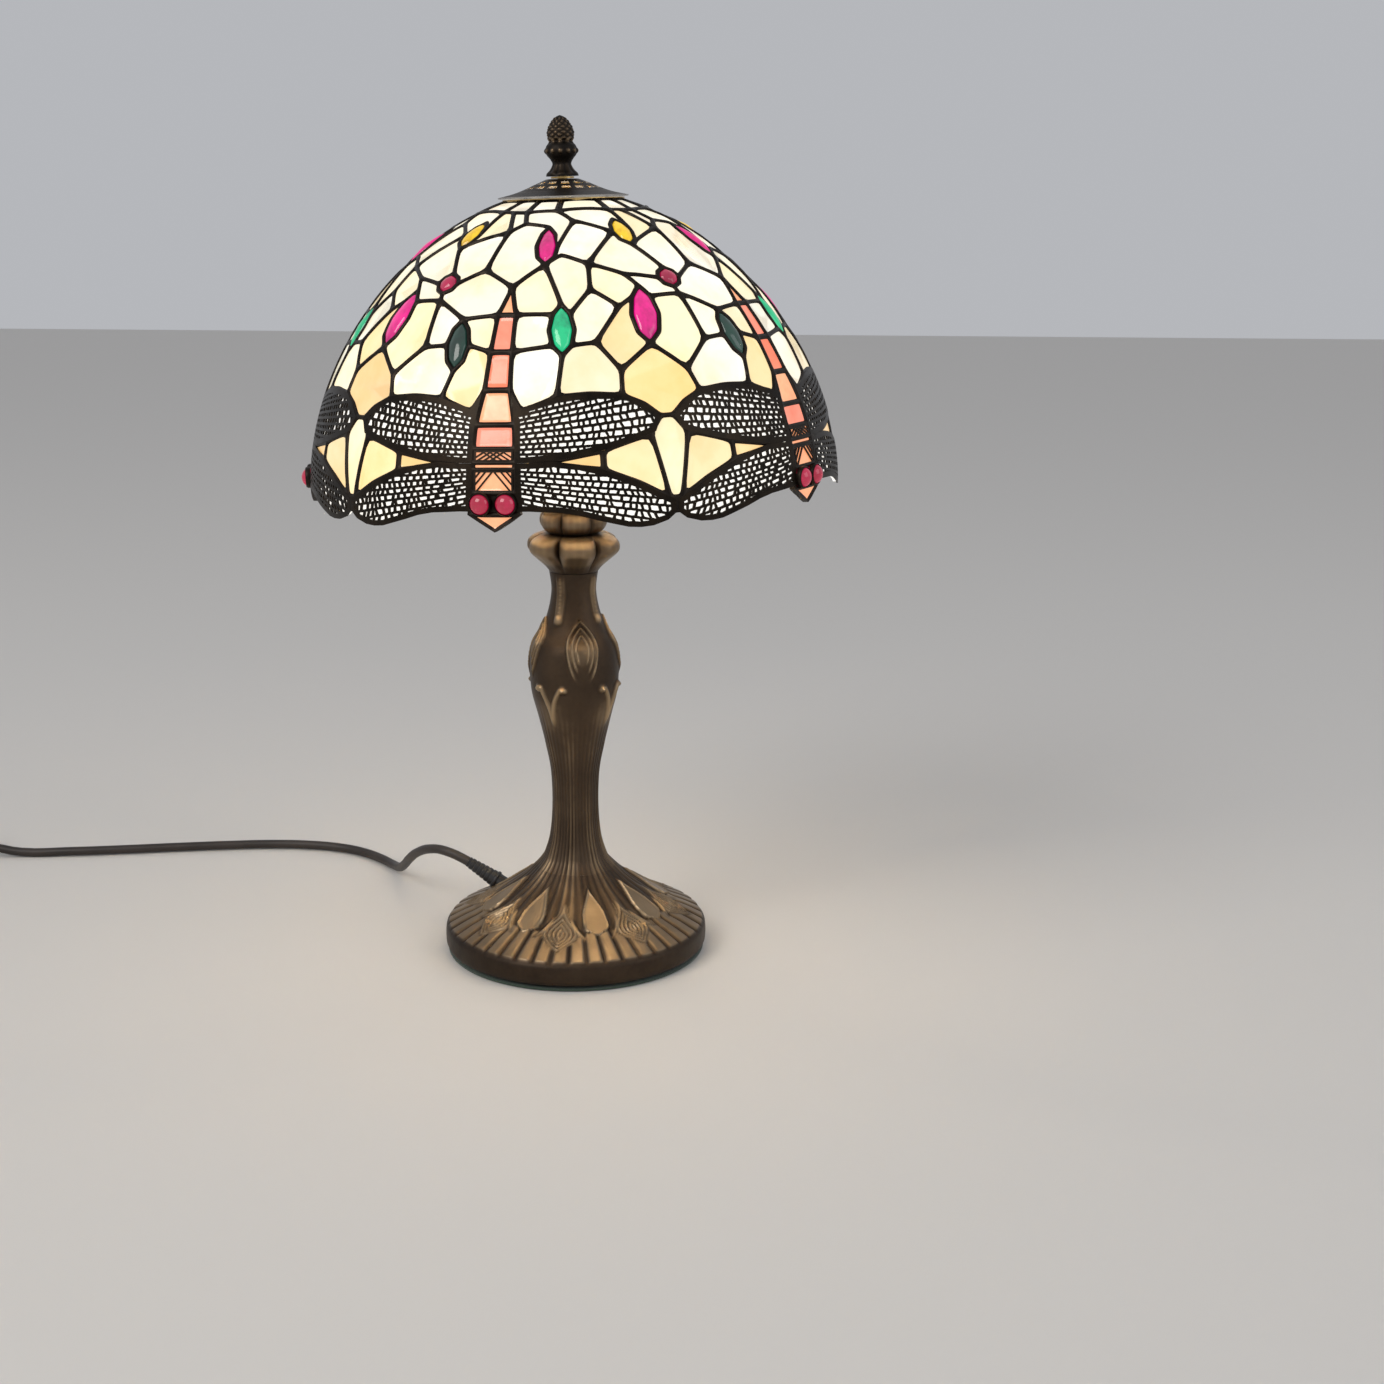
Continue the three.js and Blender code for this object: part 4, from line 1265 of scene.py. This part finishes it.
def flat_wing(outline, hub, seed):
    bm = bmesh.new()
    field = flat_outline(bm, outline)
    bmesh.ops.inset_individual(bm, faces=[field], thickness=WING_BORDER, use_even_offset=True)
    outer = [e for e in bm.edges if e.is_boundary]
    bmesh.ops.subdivide_edges(bm, edges=outer, cuts=3)
    bricks = pierce(bm, field, hub, random.Random(seed))
    bricks = [f for f in bricks if f.is_valid and f.calc_area() > 3.0]
    bm.normal_update()
    bmesh.ops.inset_individual(bm, faces=bricks, thickness=WEB, use_even_offset=True)
    rims = list({e for f in bricks for e in f.edges})
    bmesh.ops.subdivide_edges(bm, edges=rims, cuts=1)
    rounded = list({v for f in bricks for v in f.verts})
    for _ in range(2):
        bmesh.ops.smooth_vert(bm, verts=rounded, factor=0.42, use_axis_x=True, use_axis_y=True)
    bmesh.ops.delete(bm, geom=bricks, context="FACES")
    raised = bmesh.ops.extrude_face_region(bm, geom=list(bm.faces))["geom"]
    top = [g for g in raised if isinstance(g, bmesh.types.BMVert)]
    bmesh.ops.translate(bm, verts=top, vec=(0, 0, PLATE_THICK))
    bmesh.ops.recalc_face_normals(bm, faces=bm.faces)
    return bm


def flat_glass(outline):
    bm = bmesh.new()
    field = flat_outline(bm, outline)
    ring = bmesh.ops.inset_individual(bm, faces=[field], thickness=GLASS_INSET, use_even_offset=True)
    bmesh.ops.delete(bm, geom=ring["faces"], context="FACES")
    faces = [field]
    for k in range(1, 12):
        faces = cut(bm, faces, Vector((k * 8, 0, 0)), Vector((1, 0, 0)))
    for k in range(1, 6):
        faces = cut(bm, list(bm.faces), Vector((0, 284 + k * 12, 0)), Vector((0, 1, 0)))
    back = bmesh.ops.extrude_face_region(bm, geom=list(bm.faces))["geom"]
    bmesh.ops.translate(bm, verts=[g for g in back if isinstance(g, bmesh.types.BMVert)], vec=(0, 0, -1.9))
    bmesh.ops.recalc_face_normals(bm, faces=bm.faces)
    return bm


def lay_on_dome(flat, spine, side, kind, lift, colour):
    """A copy of a flat part, bent onto the dome on one side of a spine."""
    bm = flat.copy()
    tint = bm.loops.layers.float_color.new("tint")
    for face in bm.faces:
        face.material_index = kind
        for corner in face.loops:
            corner[tint] = (*colour, 1)
    for v in bm.verts:
        v.co = dome_point(spine + side * v.co.x / ARC, v.co.y, v.co.z + lift)
    if side < 0:
        bmesh.ops.reverse_faces(bm, faces=bm.faces)
    return bm


def flat_band(low, high, half, steps):
    """A small openwork plate across the body, crossed both ways like a knotted ribbon."""
    bm = bmesh.new()
    field = flat_outline(bm, [(-half, low), (half, low), (half, high), (-half, high)])
    bmesh.ops.inset_individual(bm, faces=[field], thickness=0.5, use_even_offset=True)
    outer = [e for e in bm.edges if e.is_boundary]
    bmesh.ops.subdivide_edges(bm, edges=outer, cuts=5)
    faces = [field]
    for side in (-1, 1):
        for step in steps:
            faces = cut(bm, faces, Vector((side * step, high, 0)), Vector((high - low, side * half * ARC * 0.9, 0)))
    holes = [f for f in faces if f.is_valid and f.calc_area() > 0.8]
    bm.normal_update()
    bmesh.ops.inset_individual(bm, faces=holes, thickness=0.42, use_even_offset=True)
    bmesh.ops.delete(bm, geom=holes, context="FACES")
    raised = bmesh.ops.extrude_face_region(bm, geom=list(bm.faces))["geom"]
    bmesh.ops.translate(bm, verts=[g for g in raised if isinstance(g, bmesh.types.BMVert)], vec=(0, 0, 0.8))
    bmesh.ops.recalc_face_normals(bm, faces=bm.faces)
    return bm


BANDS = [flat_band(319.0, 324.6, 4.0, (-7, -3.4, 0.2, 3.8)), flat_band(303.8, 314.6, 4.0, (0, 3.6, 6.6))]
WINGS = [
    (flat_wing(UPPER_WING, Vector((-95, 322, 0)), 5), flat_glass(UPPER_WING)),
    (flat_wing(LOWER_WING, Vector((-90, 322, 0)), 6), flat_glass(LOWER_WING)),
]
print("wing plate faces:", [len(plate.faces) for plate, glass in WINGS])


def add_dragonfly(k):
    spine = FRONT_SPINE + SECTOR * k
    bm = add_body(k)
    for plate, glass in WINGS:
        for side in (-1, 1):
            join(bm, lay_on_dome(plate, spine, side, 3, PLATE_LIFT, (0.1, 0.1, 0.1)))
            join(bm, lay_on_dome(glass, spine, side, 2, 0.05, (1.0, 0.98, 0.92)))
    for band in BANDS:
        join(bm, lay_on_dome(band, spine, 1, 1, 0.1, (0.1, 0.1, 0.1)))
    return finish_piece(
        bm, f"dragonfly_body_{k + 1}", "shade", [CORAL, SOLDER, WING_GLASS, FILIGREE], [f"dragonfly_{k + 1}"],
        lean=True, sharp=50, outward=False,
    )


dragonflies = [add_dragonfly(k) for k in range(5)]
print("dragonfly faces:", len(dragonflies[0].data.polygons))

# %% [markdown]
# The eyes are two round ruby cabochons in solder rings. Each is a sphere flattened to a dome and turned
# to face out of the shade.

# %% Dragonfly eyes
EYE_Z = 298
EYE_APART = 2.55
EYE_RADIUS = 5.3
EYE_HIGH = 4.2


def add_eyes(k):
    bm = bmesh.new()
    tint = bm.loops.layers.float_color.new("tint")
    for side in (-1, 1):
        bearing = math.radians(FRONT_SPINE + SECTOR * k + side * EYE_APART)
        out = Vector((math.sin(bearing), -math.cos(bearing), 0))
        aim = out.to_track_quat("Z", "Y").to_matrix().to_4x4()
        place = Matrix.Translation(out * 153.7 + Vector((0, 0, EYE_Z))) @ aim
        bowl = bmesh.ops.create_uvsphere(
            bm, u_segments=40, v_segments=20, radius=EYE_RADIUS,
            matrix=place @ Matrix.Diagonal((1, 1, EYE_HIGH / EYE_RADIUS, 1)),
        )
        ring = [(5.2, 0.2), (5.1, 1.2), (5.5, 1.75), (6.0, 1.2), (6.1, 0.2), (6.0, -1.2), (5.2, -1.2)]
        rim = bmesh.new()
        turn(rim, ring, 48, closed=True)
        for face in rim.faces:
            face.material_index = 1
        bmesh.ops.recalc_face_normals(rim, faces=rim.faces)
        bmesh.ops.transform(rim, matrix=place, verts=rim.verts)
        join(bm, rim)
    for face in bm.faces:
        for corner in face.loops:
            corner[tint] = (0.46, 0.0, 0.05, 1)
    return finish_piece(
        bm, f"eye_cabochons_{k + 1}", "shade", [RUBY, SOLDER], [f"dragonfly_eyes_{k + 1}"], lean=True,
        outward=False,
    )


eyes = [add_eyes(k) for k in range(5)]
print("eyes:", len(eyes), "pairs")

# %% [markdown]

# %% [markdown]
# The pieces that the casting hides keep the frame's own shapes, and are only given their finishes.

# %% Finishes for the frame's pieces
SLOT_FINISH = {
    "aged_bronze": BRONZE, "brass_fittings": BRASS, "steel_parts": STEEL, "iron_weight": IRON, "felt": FELT,
    "opal_glass": OPAL, "wing_filigree": FILIGREE, "ruby_glass": RUBY, "ceramic": PORCELAIN,
    "bulb_glass": BULB_GLASS, "black_plastic": PLASTIC, "cord_sheath": SHEATH,
}
BY_NAME = {
    "felt": ["felt_pad"], "iron_weight": ["foot_weight"], "aged_bronze": ["base_plate"],
    "steel_parts": ["lamp_pipe", "foot_washer", "foot_nut"],
    "ceramic": ["contact_block"], "cord_sheath": ["inner_lead"],
}


def finish_nodes():
    chosen = {name: slot for slot, names in BY_NAME.items() for name in names}
    for name, node in nodes.items():
        if node.hide_render:
            continue
        material = SLOT_FINISH[chosen.get(name, "brass_fittings")]
        if "glass_panel" in name or name.startswith("dragonfly"):
            material = OPAL
        if name.startswith("switch") or name.startswith("plug") or name in ("cord_bush", "strain_relief"):
            material = PLASTIC
        if name.startswith("plug_pin"):
            material = BRASS
        for place in range(max(1, len(node.material_slots))):
            if not node.material_slots:
                node.data.materials.append(material)
            node.material_slots[place].material = material


finish_nodes()
print("frame pieces shown:", sorted(name for name, node in nodes.items() if not node.hide_render))

# %% [markdown]
# The lamp stands on a plain pale floor in soft studio light from two large panels and a pale sky, with
# one warm light at the bulb, so that the glass also lights the cap, the harp and the wings' edges.

# %% Floor and light
def add_floor():
    bm = bmesh.new()
    bmesh.ops.create_grid(bm, x_segments=1, y_segments=1, size=6)
    bmesh.ops.translate(bm, vec=(0, 0, -0.0002), verts=bm.verts)
    mesh = bpy.data.meshes.new("floor")
    bm.to_mesh(mesh)
    bm.free()
    floor = bpy.data.objects.new("floor", mesh)
    finish = Finish("floor")
    mesh.materials.append(finish.surface(Base_Color=(0.66, 0.64, 0.61, 1), Roughness=0.75))
    bpy.context.scene.collection.objects.link(floor)


def add_light(name, kind, place, target, power, size, colour):
    data = bpy.data.lights.new(name, kind)
    data.energy = power
    data.color = colour
    if kind == "AREA":
        data.size = size
    else:
        data.shadow_soft_size = size
    light = bpy.data.objects.new(name, data)
    light.location = place
    light.rotation_euler = (Vector(target) - Vector(place)).to_track_quat("-Z", "Y").to_euler()
    bpy.context.scene.collection.objects.link(light)


def add_world():
    world = bpy.data.worlds.new("studio")
    world.use_nodes = True
    background = world.node_tree.nodes["Background"]
    background.inputs["Color"].default_value = (0.93, 0.95, 1.0, 1)
    background.inputs["Strength"].default_value = 0.5
    bpy.context.scene.world = world


add_floor()
add_world()
add_light("key", "AREA", (-1.5, -1.6, 1.9), (0, 0, 0.2), 30, 1.4, (1.0, 0.97, 0.93))
add_light("fill", "AREA", (1.9, -0.9, 1.2), (0, 0, 0.2), 9, 1.6, (0.95, 0.97, 1.0))
add_light("lamp", "POINT", (0, 0, 0.365), (0, 0, 0), 12, 0.028, (1.0, 0.84, 0.62))
bpy.context.scene.view_settings.view_transform = "Standard"
print("lights:", len(bpy.data.lights))

# %% [markdown]
# Last, the view layer is brought up to date.

# %% Finish
bpy.context.view_layer.update()
